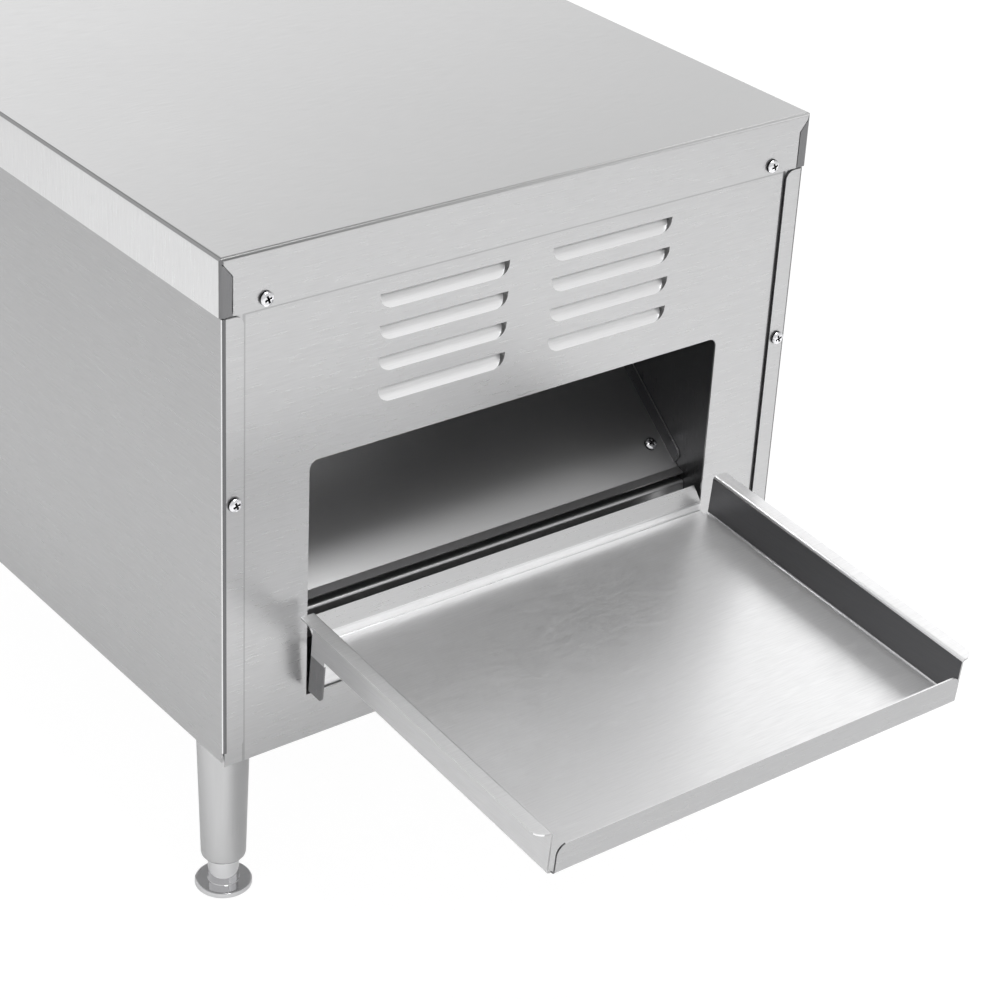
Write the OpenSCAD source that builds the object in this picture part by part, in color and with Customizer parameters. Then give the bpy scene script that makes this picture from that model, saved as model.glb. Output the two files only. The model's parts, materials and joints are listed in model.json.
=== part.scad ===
// Conveyor toaster on four legs, standing on the floor plane z = 0.
// The discharge end faces -Y and carries the tray; bread is loaded at the +Y end.
// Inside the body the pieces are placed in body coordinates: x from the middle,
// y inwards from the outer face of the discharge end, z up from the underside.

/* [Body] */
// Width over the side panels
body_w = 368; // [330:1:410]
// Depth over the end flanges of the side panels
body_d = 418; // [370:1:470]
// Height from the underside to the top of the lid
body_h = 285; // [255:1:320]
// Thickness of the stainless sheet
sheet = 1; // [0.8:0.1:1.2]
// Inner radius of the folds in the sheet
bend_r = 1; // [0.5:0.1:1.5]
// Gap between pieces that fit together
fit_gap = 0.3; // [0.2:0.05:0.4]

/* [Lid and side panels] */
// Depth of the flanges that hang from the lid
lid_flange = 30.5; // [26:0.5:34]
// Width of the corner tabs folded round from the side flanges of the lid
lid_tab = 6.5; // [5:0.5:9]
// Width of the seam beside each corner tab
seam = 0.6; // [0.4:0.1:1]
// Width of the side panel flanges that lie on the end faces
side_flange = 12; // [11:0.5:15]
// Height of the lower edge of the side panels
side_low = 3; // [2:0.5:6]
// Height of the lower end of the side panel flanges
flange_low = 9; // [7:0.5:12]
// Corner radius of the side panel flanges
flange_r = 5; // [2:0.5:6]
// Gap between the end panel and the flange laid over it
flange_gap = 0.3; // [0.2:0.1:0.5]

/* [Screws] */
// Diameter of the screw heads
screw_head_d = 7.5; // [6:0.1:9]
// Height of the screw heads
screw_head_h = 2.6; // [2:0.1:3.5]
// Diameter of the screw shanks
screw_d = 3.9; // [3:0.1:4.5]
// Length of the screw shanks
screw_len = 8; // [6:0.5:12]
// Distance of the lid screws from the sides
lid_screw_in = 24; // [20:1:40]
// Distance of the lid screws below the top
lid_screw_drop = 25.5; // [22:0.5:26]
// Height of the screws in the side flanges
side_screw_z = 153.5; // [130:0.5:180]

/* [Louvres] */
// Width of one louvre at its open edge
louvre_w = 79; // [60:1:84]
// Height of one louvre
louvre_h = 8.5; // [6:0.5:10]
// How far the blade leans inwards
louvre_in = 6; // [3:0.5:7]
// Distance between the rows of louvres
louvre_pitch = 17.05; // [15:0.05:18]
// Number of rows
louvre_rows = 4; // [2:1:4]
// Distance of the two columns from the middle
louvre_x = 53.5; // [50:0.5:60]
// Open edge of the top row, below the top of the body
louvre_drop = 40.6; // [38:0.2:46]

/* [Openings] */
// Distance of the discharge opening and of the feed opening from the sides
mouth_in = 51; // [51:1:60]
// Lower edge of the discharge opening
mouth_low = 26.5; // [24:0.5:30]
// Upper edge of the discharge opening, below the top of the body
mouth_drop = 121.2; // [115:0.2:135]
// Corner radius of the openings
mouth_r = 5; // [2:0.5:8]
// Upper edge of the feed opening, below the top of the body
feed_drop = 37; // [33:0.5:45]
// Height of the feed opening
feed_h = 43; // [36:0.5:46]

/* [Legs and feet] */
// Height of the underside of the body above the floor
leg_h = 102; // [96:1:130]
// Distance of the legs from the sides
leg_in_x = 21; // [18:1:30]
// Distance of the legs from the end faces
leg_in_y = 34; // [24:1:44]
// Diameter of a leg at the top
leg_top_d = 28.4; // [24:0.2:34]
// Diameter of a leg at its lower end
leg_low_d = 24.4; // [22:0.2:28]
// Length of stem and pad that shows below a leg
foot_show = 19.5; // [16:0.5:24]
// Diameter of the threaded stem
stem_d = 16.8; // [14:0.2:20]
// Diameter of the foot pad
pad_d = 31; // [26:0.5:38]
// Thickness of the foot pad
pad_t = 3.4; // [2.6:0.2:5]
// How far the stem reaches up inside the leg
stem_in = 40; // [30:1:60]

/* [Discharge tray] */
// Height of the tray floor at the discharge face
tray_z = 57.3; // [52:0.1:62]
// Slope of the tray
tray_tilt = 4.6; // [2:0.1:8]
// Length of the tray out from the discharge face
tray_len = 204; // [150:1:230]
// Distance of the tray walls outside the edges of the discharge opening
tray_over = 0.5; // [0.3:0.1:3]
// Height of the tray walls
tray_wall = 24.3; // [18:0.1:30]
// Width of the lips along the top of the walls
tray_lip = 8; // [5:0.5:12]
// Height of the front flange of the tray
tray_front = 17.5; // [10:0.5:19]
// Distance of the walls' front ends behind the front flange
tray_setback = 2.4; // [1.2:0.1:5]
// Gap between the tray walls and the discharge face
tray_off = 5; // [3:0.5:8]
// Depth of the legs of the tray walls below the tray
tray_leg = 25; // [15:0.5:26]
// Width of the legs of the tray walls
tray_leg_w = 12; // [8:0.5:16]
// Length of the sloping ramp at the back of the tray
ramp_len = 10; // [7:0.5:11]
// Depth of the apron that drops behind the end panel
apron_low = 11; // [8:0.5:14]

/* [Slide] */
// Distance of the slide's fold from the discharge face
slide_y = 25; // [24:0.5:30]
// Height of the slide's fold
slide_z = 72.2; // [70:0.2:76]
// Slope of the slide
slide_angle = 38.9; // [34:0.1:39.5]
// Distance of the slide's upper end below the belt
slide_below_belt = 12.86; // [10:0.02:25]
// Slope of the lip below the fold
lip_angle = 15; // [5:1:25]
// Length of the lip
lip_len = 5.5; // [4:0.5:6]
// Distance of the slide's screws from its fold and from its upper end
slide_screw_end = 17.5; // [12:0.5:30]
// Height of the flanges at the sides of the slide
slide_side = 8; // [6:0.5:12]
// Height of the rail below the lip
rail_z = 66; // [62:0.5:67]

/* [Inner frame] */
// Width of the bays between the inner plates and the side panels
side_bay = 48; // [44:0.5:49]
// Distance of the bulkhead behind the slide's upper end
bulkhead_back = 5.82; // [3:0.02:12]
// Distance of the bulkhead's upper edge below the crumb tray
bulkhead_drop = 2.3; // [2:0.1:10]

/* [Conveyor] */
// Distance of the two conveyor shafts below the top of the body
shaft_drop = 89; // [87:0.5:91]
// Distance of the idler shaft from the discharge face
idler_y = 75; // [70:1:80]
// Diameter of the shafts
shaft_d = 10; // [8:0.5:12]
// Radius at which the belt strands run round the wheels
belt_r = 18; // [17:0.5:18]
// Teeth of a belt wheel
wheel_teeth = 8; // [6:1:10]
// Least distance of the drive shaft from the feed end
drive_in = 45; // [42:1:70]
// Room between the belt and each inner plate
belt_gap = 9; // [6:0.5:20]
// Diameter of the belt wire
belt_wire = 2; // [1.6:0.1:2.4]
// Hooks that join each strand to the next
hooks = 6; // [4:1:8]

/* [Chain drive] */
// Distance of the motor shaft from the drive shaft, towards the discharge face
motor_back = 31.88; // [25:0.02:40]
// Distance of the motor shaft below the drive shaft
motor_low = 91; // [84:1:100]
// Teeth of the sprocket on the motor
motor_teeth = 11; // [10:1:12]
// Teeth of the sprocket on the drive shaft
drive_teeth = 15; // [14:1:16]
// Distance between the pins of the chain, nominal
chain_pitch = 9.525; // [8:0.005:12.7]
// Side of the gearbox
gearbox = 60; // [50:1:64]
// Thickness of the gearbox
gearbox_t = 26; // [20:1:32]
// Length of the motor behind the gearbox
motor_len = 46; // [36:1:56]

/* [Heaters] */
// Diameter of the quartz tubes
tube_d = 10; // [8:0.5:11]
// Number of tubes above and below the belt
tubes = 3; // [2:1:4]
// Distance of the upper tubes below the top of the body
tube_drop = 28; // [27:0.5:31]
// Height of the lower tubes above the shafts
tube_rise = 5; // [2:0.5:8]
// Distance of the outer tubes from the wheels of the belt
tube_clear = 30; // [24:1:60]

/* [Crumb tray] */
// Distance of the crumb tray's underside below the shafts
crumb_drop = 44.7; // [44:0.1:48]
// Height of the walls of the crumb tray
crumb_wall = 12; // [8:0.5:14]
// Width of the runners of the crumb tray
runner_w = 16; // [12:1:24]
// Room between the crumb tray and each inner plate
crumb_gap = 6; // [5:0.5:12]

/* [Controls] */
// Distance of the knobs and the switch below the crumb tray
control_drop = 59.3; // [55:0.1:70]
// Diameter of the knobs
knob_d = 34; // [28:0.5:40]
// Height of the knobs
knob_h = 17; // [13:0.5:22]
// Diameter of the spindles
spindle_d = 6; // [5:0.5:8]
// Height of the pilot lamps above the controls
lamp_up = 36; // [30:1:44]
// Diameter of a pilot lamp behind the panel
lamp_d = 8; // [6:0.5:10]
// Depth of a pilot lamp behind the panel
lamp_len = 16; // [12:1:24]
// Width and height of a heat switch
switch_w = 32; // [26:1:38]
// Depth of a heat switch
switch_depth = 26; // [20:1:32]
// Distance of the outer controls from the sides
control_in = 73; // [66:1:80]

/* [Loading rack] */
// Reach of the rack beyond the feed end
rack_reach = 204; // [150:1:230]
// Slope of the rack
rack_tilt = 14; // [8:0.5:14]
// Diameter of the frame wire
frame_wire = 4; // [3:0.2:5]
// Diameter of the bars
bar_wire = 3; // [2:0.2:4]
// Number of bars
bars = 9; // [5:2:13]
// Distance of the rack's sides from the edges of the feed opening
rack_in = 9; // [6:1:20]
// Distance of the rack's feet from its sides
rack_foot_in = 14; // [10:1:30]

/* [Fan] */
// Side of the cooling fan
fan_side = 80; // [70:1:90]
// Number of fan blades
fan_blades = 7; // [5:1:9]
// Distance of the fan from the discharge face
fan_y = 232; // [225:1:245]
// Distance of the fan from the middle
fan_x = 50; // [40:1:60]

/* [Hidden] */
$fn = 48;

steel = [0.74, 0.74, 0.75];
dark_steel = [0.5, 0.5, 0.52];
black = [0.08, 0.08, 0.09];

// How far the tray and the rack reach beyond the end faces
tray_reach = tray_len * cos(tray_tilt) + (tray_front - sheet) * sin(tray_tilt);
feed_reach = rack_reach;
// Place of the discharge face, which puts the whole object's middle at y = 0
face_y = (tray_reach - feed_reach - body_d) / 2;
half_w = body_w / 2;
lid_screw_x = half_w - lid_screw_in;
// Outer faces of the end panels
panel_y = sheet + flange_gap;
feed_panel_y = body_d - sheet - flange_gap;
// Half width of the end panels and of the base, inside the side panels
panel_half = half_w - sheet - 0.5 * bend_r;
lid_gap = 0.2;
lid_low = body_h - lid_flange;
// Top of the pieces that stand under the lid
under_lid = body_h - sheet - fit_gap;
inner_top = under_lid - 1;
// Conveyor, crumb tray, controls and openings hang from the top of the body
inner_half = half_w - side_bay;
belt_w = 2 * (inner_half - belt_gap);
shaft_z = body_h - shaft_drop;
crumb_z = shaft_z - crumb_drop;
crumb_half = inner_half - crumb_gap;
control_z = crumb_z - control_drop;
upper_tube_z = body_h - tube_drop;
lower_tube_z = shaft_z + tube_rise;
mouth_half = half_w - mouth_in;
mouth_high = body_h - mouth_drop;
feed_high = body_h - feed_drop;
feed_low = feed_high - feed_h;
tray_w = 2 * (mouth_half + tray_over);
rack_half = mouth_half - rack_in;
rack_foot_x = rack_half - rack_foot_in;
slide_len = (shaft_z - belt_r - slide_below_belt - slide_z) / sin(slide_angle);
slide_screw_v = [slide_screw_end, slide_len - slide_screw_end];
slide_screw_in = 10.2;
bulkhead_y = slide_y + slide_len * cos(slide_angle) + bulkhead_back;
bulkhead_h = crumb_z - bulkhead_drop;
inner_start = panel_y + sheet + fit_gap;
inner_end = feed_panel_y - sheet - fit_gap;
between = inner_half - sheet / 2 - fit_gap;
hole_d = screw_d + 0.4;
belt_pitch = 2 * PI * belt_r / wheel_teeth;
strands = wheel_teeth + 2 * floor((body_d - drive_in - idler_y) / belt_pitch);
shaft_gap = (strands - wheel_teeth) * belt_pitch / 2;
drive_y = idler_y + shaft_gap;
motor_y = drive_y - motor_back;
motor_z = shaft_z - motor_low;
bush_d = shaft_d + 4;
sprocket_x = inner_half + 9;
slot_back_y = panel_y + sheet + 2 * fit_gap + sheet + 0.5;
control_x = [for (i = [0:3]) (i / 3 - 0.5) * (body_w - 2 * control_in)];
tube_step = (drive_y - idler_y - 2 * (belt_r + tube_clear)) / (tubes - 1);
tube_y = [for (i = [0:tubes - 1]) idler_y + belt_r + tube_clear + i * tube_step];
leg_spots = [
    for (y = [leg_in_y, body_d - leg_in_y], x = [-1, 1]) [x * (half_w - leg_in_x), y]
];

// ---- outlines of folded sheet ----

function unit(v) = v / norm(v);
function left_of(d) = [-d[1], d[0]];
function turned(v, a) = [v[0] * cos(a) - v[1] * sin(a), v[0] * sin(a) + v[1] * cos(a)];
function turn_side(a, b) = sign(a[0] * b[1] - a[1] * b[0]);

// Points round the fold at corner i of the path p, at the offset off to the left of it
function fold_points(p, i, off, r, n) =
    let (
        into = unit(p[i] - p[i - 1]),
        out = unit(p[i + 1] - p[i]),
        side = turn_side(into, out),
        angle = acos(min(1, into * out)),
        middle = p[i] - into * r * tan(angle / 2) + left_of(into) * side * r
    )
    [for (k = [0:n]) middle + turned(-left_of(into) * side, side * angle * k / n) * (r - side * off)];

function side_line(p, off, r, n) =
    let (last = len(p) - 1)
    concat(
        [p[0] + left_of(unit(p[1] - p[0])) * off],
        [for (i = [1:1:last - 1]) each fold_points(p, i, off, r, n)],
        [p[last] + left_of(unit(p[last] - p[last - 1])) * off]
    );

function backwards(list) = [for (i = [len(list) - 1:-1:0]) list[i]];

// Section of a sheet that follows the corners of p with folds of radius bend_r
module folded(p, t = sheet, n = 5) {
    r = bend_r + t / 2;
    polygon(concat(side_line(p, t / 2, r, n), backwards(side_line(p, -t / 2, r, n))));
}

// Rectangle from low to high with its four corner radii, counted from the low corner round
module rounded(low, high, radii, n = 6) {
    corners = [low, [high[0], low[1]], high, [low[0], high[1]]];
    inward = [[1, 1], [-1, 1], [-1, -1], [1, -1]];
    polygon([
        for (i = [0:3], k = [0:n])
            let (a = 180 + i * 90 + 90 * k / n, r = max(radii[i], 0.001))
            corners[i] + inward[i] * r + [cos(a), sin(a)] * r
    ]);
}

// ---- placing ----

module in_body() {
    translate([0, face_y, leg_h]) children();
}

// Runs a section given as (x, z) along y
module along_y(y0, y1) {
    translate([0, y1, 0]) rotate([90, 0, 0]) linear_extrude(y1 - y0) children();
}

// Runs a section given as (y, z) along x
module along_x(x0, x1) {
    translate([x0, 0, 0]) rotate([90, 0, 90]) linear_extrude(x1 - x0) children();
}

module both_sides() {
    children();
    mirror([1, 0, 0]) children();
}

// The far end is the near end turned half round the middle of the body
module at_feed_end() {
    translate([0, body_d, 0]) mirror([0, 1, 0]) children();
}

module bore_y(x, y0, y1, z, d) {
    translate([x, y0, z]) rotate([-90, 0, 0]) cylinder(d = d, h = y1 - y0);
}

module rod_x(x0, x1, y, z, d) {
    translate([x0, y, z]) rotate([0, 90, 0]) cylinder(d = d, h = x1 - x0);
}

module box(low, high) {
    translate(low) cube(high - low);
}

// ---- screws ----

// Cross-head screw along +Y, its head outside the face at y = 0
module screw_y() {
    dome_r = (screw_head_d * screw_head_d / 4 + screw_head_h * screw_head_h) / (2 * screw_head_h) + 1;
    difference() {
        union() {
            intersection() {
                bore_y(0, -screw_head_h, 0, 0, screw_head_d);
                translate([0, dome_r - screw_head_h, 0]) sphere(r = dome_r);
            }
            bore_y(0, -0.2, screw_len, 0, screw_d);
        }
        for (a = [0, 90]) {
            rotate([0, a + 20, 0]) box([-2.1, -screw_head_h - 1, -0.45], [2.1, -screw_head_h + 1.6, 0.45]);
        }
    }
}

module end_screws() {
    both_sides() {
        translate([lid_screw_x, -lid_gap, body_h - lid_screw_drop]) screw_y();
        translate([half_w - side_flange / 2 - 0.7, 0, side_screw_z]) screw_y();
    }
}

module cover_screws() {
    color(dark_steel) in_body() {
        end_screws();
        at_feed_end() end_screws();
    }
}

// ---- casing ----

// Block under the lid whose upright and top edges are rounded
module lid_block(grow, drop, r) {
    half = half_w + lid_gap + grow;
    front = sheet - lid_gap - grow;
    back = body_d - front;
    top = body_h - drop;
    low = lid_low - 5;
    intersection() {
        along_y(front - 1, back + 1) rounded([-half, low], [half, top], [0, 0, r, r]);
        along_x(-half - 1, half + 1) rounded([front, low], [back, top], [0, 0, r, r]);
        linear_extrude(body_h + 1) rounded([-half, front], [half, back], [r, r, r, r]);
    }
}

// Seam between the corner tab and the end flange, with its slanted relief at the top
module lid_seam() {
    tab_x = half_w + lid_gap + sheet - lid_tab;
    relief = 8;
    top = body_h - 2 * sheet;
    along_y(-sheet, sheet + 0.2)
        polygon([
            [tab_x, lid_low - 1],
            [tab_x - seam, lid_low - 1],
            [tab_x - seam, top - relief],
            [tab_x - seam + relief * 0.7, top - sheet],
            [tab_x + relief * 0.7, top - sheet],
            [tab_x, top - relief]
        ]);
}

module top_cover() {
    outer_r = bend_r + sheet;
    color(steel) in_body() difference() {
        lid_block(sheet, 0, outer_r);
        lid_block(0, sheet, bend_r);
        box([-half_w - 5, -5, lid_low - 10], [half_w + 5, body_d + 5, lid_low]);
        both_sides() {
            lid_seam();
            at_feed_end() lid_seam();
            bore_y(lid_screw_x, -5, sheet + 1, body_h - lid_screw_drop, hole_d);
            bore_y(lid_screw_x, body_d - sheet - 1, body_d + 5, body_h - lid_screw_drop, hole_d);
        }
    }
}

// Panel of the +X side: a sheet with a flange folded in at each end
module side_panel() {
    inner_x = half_w - side_flange;
    flange_top = lid_low - 1;
    face = half_w - sheet / 2;
    path = [
        [inner_x, sheet / 2],
        [face, sheet / 2],
        [face, body_d - sheet / 2],
        [inner_x, body_d - sheet / 2]
    ];
    difference() {
        union() {
            intersection() {
                translate([0, 0, side_low]) linear_extrude(flange_top - side_low) folded(path);
                along_y(-1, body_d + 1)
                    rounded([inner_x, flange_low], [half_w + 5, flange_top], [flange_r, 0, 0, flange_r]);
            }
            box([half_w - sheet, sheet + bend_r, side_low], [half_w, body_d - sheet - bend_r, inner_top]);
        }
        bore_y(half_w - side_flange / 2 - 0.7, -1, sheet + 1, side_screw_z, hole_d);
        bore_y(half_w - side_flange / 2 - 0.7, body_d - sheet - 1, body_d + 1, side_screw_z, hole_d);
    }
}

module right_side_panel() {
    color(steel) in_body() side_panel();
}

module left_side_panel() {
    color(steel) in_body() mirror([1, 0, 0]) side_panel();
}

// Flat plate of an end panel with its four corner screw holes
module end_plate() {
    difference() {
        box([-panel_half, panel_y, 0], [panel_half, panel_y + sheet, under_lid]);
        both_sides() {
            bore_y(lid_screw_x, panel_y - 1, panel_y + sheet + 1, body_h - lid_screw_drop, hole_d);
            bore_y(half_w - side_flange / 2 - 0.7, panel_y - 1, panel_y + sheet + 1, side_screw_z, hole_d);
        }
    }
}

module louvre_outline(grow) {
    r = louvre_h - 1 + grow;
    rounded([-louvre_w / 2 - grow, -grow], [louvre_w / 2 + grow, louvre_h + 0.01], [r, r, 0, 0], 8);
}

// Skin behind the panel: the pressed blade and its closed ends, still full
module louvre_skin() {
    intersection() {
        along_y(panel_y + sheet / 2, panel_y + sheet + louvre_in + 2) louvre_outline(sheet);
        along_x(-louvre_w, louvre_w)
            polygon([
                [panel_y, -sheet * 1.6],
                [panel_y + louvre_in + sheet * 1.4, louvre_h],
                [panel_y, louvre_h]
            ]);
    }
}

module louvre_hollow() {
    intersection() {
        along_y(panel_y - 1, panel_y + louvre_in + 1) louvre_outline(0);
        along_x(-louvre_w, louvre_w)
            polygon([
                [panel_y - 0.5, -0.5 * louvre_h / louvre_in],
                [panel_y + louvre_in, louvre_h],
                [panel_y + louvre_in, louvre_h + 0.01],
                [panel_y - 0.5, louvre_h + 0.01]
            ]);
    }
}

module at_louvres() {
    for (side = [-1, 1], row = [0:louvre_rows - 1])
        translate([side * louvre_x, 0, body_h - louvre_drop - louvre_h - row * louvre_pitch]) children();
}

module discharge_end_panel() {
    color(steel) in_body() difference() {
        union() {
            end_plate();
            at_louvres() louvre_skin();
        }
        at_louvres() louvre_hollow();
        along_y(panel_y - 1, panel_y + sheet + 1)
            rounded([-mouth_half, mouth_low], [mouth_half, mouth_high], [0.5, 0.5, mouth_r, mouth_r]);
    }
}

module feed_end_panel() {
    color(steel) in_body() difference() {
        at_feed_end() end_plate();
        along_y(feed_panel_y - sheet - 1, feed_panel_y + 1) {
            rounded([-mouth_half, feed_low], [mouth_half, feed_high], [mouth_r, mouth_r, mouth_r, mouth_r]);
            rounded([-crumb_half - 2, crumb_z - 1.3], [crumb_half + 2, crumb_z + crumb_wall + 3],
                [1, 1, 1, 1]);
            for (i = [-5:5])
                rounded([i * 20 - 7, 22], [i * 20 + 7, 26], [1.9, 1.9, 1.9, 1.9]);
        }
        for (i = [1:3])
            bore_y(control_x[i], feed_panel_y - sheet - 1, feed_panel_y + 1, control_z, spindle_d + 4);
        box([control_x[0] - 10.2, feed_panel_y - sheet - 1, control_z - 13.7],
            [control_x[0] + 10.2, feed_panel_y + 1, control_z + 13.7]);
        for (i = [0, 2])
            bore_y(control_x[i], feed_panel_y - sheet - 1, feed_panel_y + 1,
                control_z + lamp_up, lamp_d + 0.4);
        bore_y(gland_x, feed_panel_y - sheet - 1, feed_panel_y + 1, gland_z, gland_d + 0.4);
        both_sides()
            bore_y(rack_foot_x, feed_panel_y - sheet - 1, feed_panel_y + 1, feed_low - 10, hole_d);
    }
}

module base_pan() {
    side_x = half_w - sheet - 0.5;
    front_y = slot_back_y + sheet / 2;
    back_y = feed_panel_y - sheet - fit_gap;
    color(dark_steel) in_body() difference() {
        union() {
            along_y(front_y + 4, back_y)
                folded([
                    [-side_x + sheet / 2, 14],
                    [-side_x + sheet / 2, sheet / 2],
                    [side_x - sheet / 2, sheet / 2],
                    [side_x - sheet / 2, 14]
                ]);
            along_x(-inner_half + 2, inner_half - 2)
                folded([[front_y, mouth_low - 2.5], [front_y, sheet / 2], [front_y + 30, sheet / 2]]);
            box([-side_x + 6, panel_y + sheet + 0.1, 0], [side_x - 6, front_y + 6, sheet]);
        }
        for (p = leg_spots)
            translate([p[0], p[1], -1]) cylinder(d = 10.4, h = 4);
        translate([fan_x, fan_y, -1]) cylinder(d = fan_side - 6, h = 4);
        for (i = [0:8])
            translate([-110 + i * 12, 200, -1]) linear_extrude(4)
                rounded([-2, 0], [2, 60], [1.9, 1.9, 1.9, 1.9]);
    }
}

// ---- inner frame ----

// Plate of the +X side that carries the shafts and the heaters
module inner_plate() {
    flange = 14;
    y0 = inner_start + sheet / 2;
    y1 = inner_end - sheet / 2;
    path = [[inner_half + flange, y0], [inner_half, y0], [inner_half, y1], [inner_half + flange, y1]];
    difference() {
        translate([0, 0, sheet]) linear_extrude(inner_top - sheet) folded(path);
        for (y = [idler_y, drive_y])
            rod_x(inner_half - 5, inner_half + 5, y, shaft_z, bush_d + 0.1);
        for (y = tube_y, z = [lower_tube_z, upper_tube_z])
            rod_x(inner_half - 5, inner_half + 5, y, z, tube_d + 3);
        rod_x(inner_half - 5, inner_half + 5, motor_y, motor_z, 16);
        box([inner_half - 5, 0, 0], [inner_half + 20, slot_back_y + sheet + 2, mouth_low + 2]);
        rod_x(inner_half - 5, inner_half + 5, 250, 40, 18);
    }
}

module right_inner_plate() {
    color(steel) in_body() inner_plate();
}

module left_inner_plate() {
    color(steel) in_body() mirror([1, 0, 0]) inner_plate();
}

module bulkhead() {
    y = bulkhead_y + sheet / 2;
    color(steel) in_body()
        along_x(-between, between)
            folded([[y + 9, sheet * 1.5], [y, sheet * 1.5], [y, bulkhead_h], [y + 9, bulkhead_h]]);
}

module crumb_tray_runners() {
    low = crumb_z - fit_gap - sheet / 2;
    color(dark_steel) in_body() both_sides()
        along_y(bulkhead_y + runner_w, inner_end - 4)
            folded([
                [between - runner_w, low],
                [between - sheet / 2, low],
                [between - sheet / 2, low + crumb_wall]
            ]);
}

// ---- slide ----

module in_slide() {
    in_body() translate([0, slide_y, slide_z]) rotate([slide_angle, 0, 0]) children();
}

module slide_screw_spots() {
    for (side = [-1, 1], v = slide_screw_v)
        translate([side * (between - slide_screw_in), v, 0]) children();
}

module toast_slide() {
    turn = slide_angle - lip_angle;
    half = between;
    color(steel) in_slide() difference() {
        union() {
            along_x(-half, half)
                translate([0, -sheet / 2])
                    folded([[-lip_len * cos(turn), lip_len * sin(turn)], [0, 0], [slide_len, 0]]);
            both_sides()
                along_x(half - sheet, half)
                    rounded([3, -sheet / 2], [slide_len, slide_side], [0, 0, 2, slide_side * 0.6]);
        }
        slide_screw_spots() translate([0, 0, -5]) cylinder(d = hole_d, h = 10);
    }
}

module slide_ledges() {
    top = -sheet - sheet / 2;
    color(dark_steel) in_slide() difference() {
        both_sides()
            along_y(8, slide_len - 8)
                folded([[between - 18, top], [between - sheet / 2, top], [between - sheet / 2, top - 14]]);
        slide_screw_spots() translate([0, 0, -5]) cylinder(d = hole_d, h = 10);
    }
}

module slide_screws() {
    color(dark_steel) in_slide()
        slide_screw_spots() rotate([-90, 0, 0]) screw_y();
}

module slide_rail() {
    y = slide_y - 6.1 + sheet / 2;
    color(steel) in_body()
        along_x(-between, between)
            folded([[y, rail_z - 18], [y, rail_z - sheet / 2], [y + 10, rail_z - sheet / 2]]);
}

// ---- discharge tray ----

module in_tray() {
    in_body() translate([0, 0, tray_z]) rotate([tray_tilt, 0, 0]) children();
}

module tray_wall_part() {
    wall_x = tray_w / 2 + sheet / 2;
    start = -tray_len + tray_setback;
    tip = wall_x + sheet / 2 + tray_lip;
    intersection() {
        along_y(start, -tray_off)
            folded([
                [0, -sheet / 2],
                [wall_x, -sheet / 2],
                [wall_x, tray_wall - sheet / 2],
                [tip, tray_wall - sheet / 2]
            ]);
        translate([0, 0, -5]) linear_extrude(tray_wall + 10)
            rounded([-10, start], [tip, 10], [0, tray_lip - 1, 0, 0], 8);
    }
    along_x(wall_x - sheet / 2, wall_x + sheet / 2)
        rounded([-tray_off - tray_leg_w, -tray_leg], [-tray_off, 2], [3, 0, 0, 0]);
}

module discharge_tray() {
    narrow = mouth_half - 2;
    front_half = tray_w / 2 - 2;
    // Height to which the front flange has square ends, under its rounded corners
    front_square = 4;
    back = panel_y + sheet + 2 * fit_gap;
    lift = ramp_len * sin(45);
    // Hooks round the lower edge of the opening, clear of it at their fold
    hook_y = panel_y - 0.7 * bend_r - sheet / 2;
    hook_z = mouth_low + fit_gap + sheet / 2;
    color(steel) {
        in_tray() {
            both_sides() tray_wall_part();
            box([-narrow, -tray_off - 1, -sheet], [narrow, -0.5, 0]);
            along_x(-narrow, narrow)
                folded([
                    [-2, -sheet / 2],
                    [-sheet / 2, -sheet / 2],
                    [-sheet / 2, 5],
                    [lift, 5 + lift]
                ]);
            along_x(-front_half, front_half)
                folded([
                    [-tray_len + sheet / 2, front_square],
                    [-tray_len + sheet / 2, -sheet / 2],
                    [-tray_len + 8, -sheet / 2]
                ]);
            along_y(-tray_len, -tray_len + sheet)
                rounded([-front_half, 2], [front_half, tray_front - sheet], [0, 0, 6, 6]);
        }
        in_body() {
            along_x(-narrow + 8, narrow - 8)
                folded([
                    [-3, tray_z - sheet * 1.5],
                    [back + sheet / 2, tray_z - sheet * 1.5],
                    [back + sheet / 2, apron_low]
                ]);
            for (x = [-48, 48])
                along_x(x - 15, x + 15)
                    folded([
                        [back + sheet, hook_z],
                        [hook_y, hook_z],
                        [hook_y, mouth_low - 7]
                    ]);
        }
    }
}

// ---- crumb tray ----

module crumb_tray() {
    y0 = bulkhead_y + 2;
    fascia = feed_panel_y + fit_gap;
    color(steel) in_body() {
        along_y(y0, fascia + sheet / 2)
            folded([
                [-crumb_half + sheet / 2, crumb_z + crumb_wall],
                [-crumb_half + sheet / 2, crumb_z + sheet / 2],
                [crumb_half - sheet / 2, crumb_z + sheet / 2],
                [crumb_half - sheet / 2, crumb_z + crumb_wall]
            ]);
        box([-crumb_half + 2, y0, crumb_z], [crumb_half - 2, y0 + sheet, crumb_z + crumb_wall]);
        along_x(-crumb_half - 5, crumb_half + 5)
            folded([
                [fascia + sheet / 2, crumb_z + crumb_wall + 7],
                [fascia + sheet / 2, crumb_z - 5],
                [fascia + 12, crumb_z - 9],
                [fascia + 12, crumb_z - 3]
            ]);
    }
}

// ---- heaters ----

module top_reflector() {
    z = upper_tube_z + tube_d / 2 + 5;
    color(steel) in_body()
        along_x(-between, between)
            folded([
                [tube_y[0] - 40, z - 14],
                [tube_y[0] - 26, z],
                [tube_y[tubes - 1] + 26, z],
                [tube_y[tubes - 1] + 40, z - 14]
            ]);
}

module top_insulation() {
    low = upper_tube_z + tube_d / 2 + 5 + sheet / 2 + fit_gap;
    color([0.85, 0.82, 0.7]) in_body()
        box([-between, tube_y[0] - 24, low], [between, tube_y[tubes - 1] + 24, under_lid - 0.2]);
}

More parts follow.
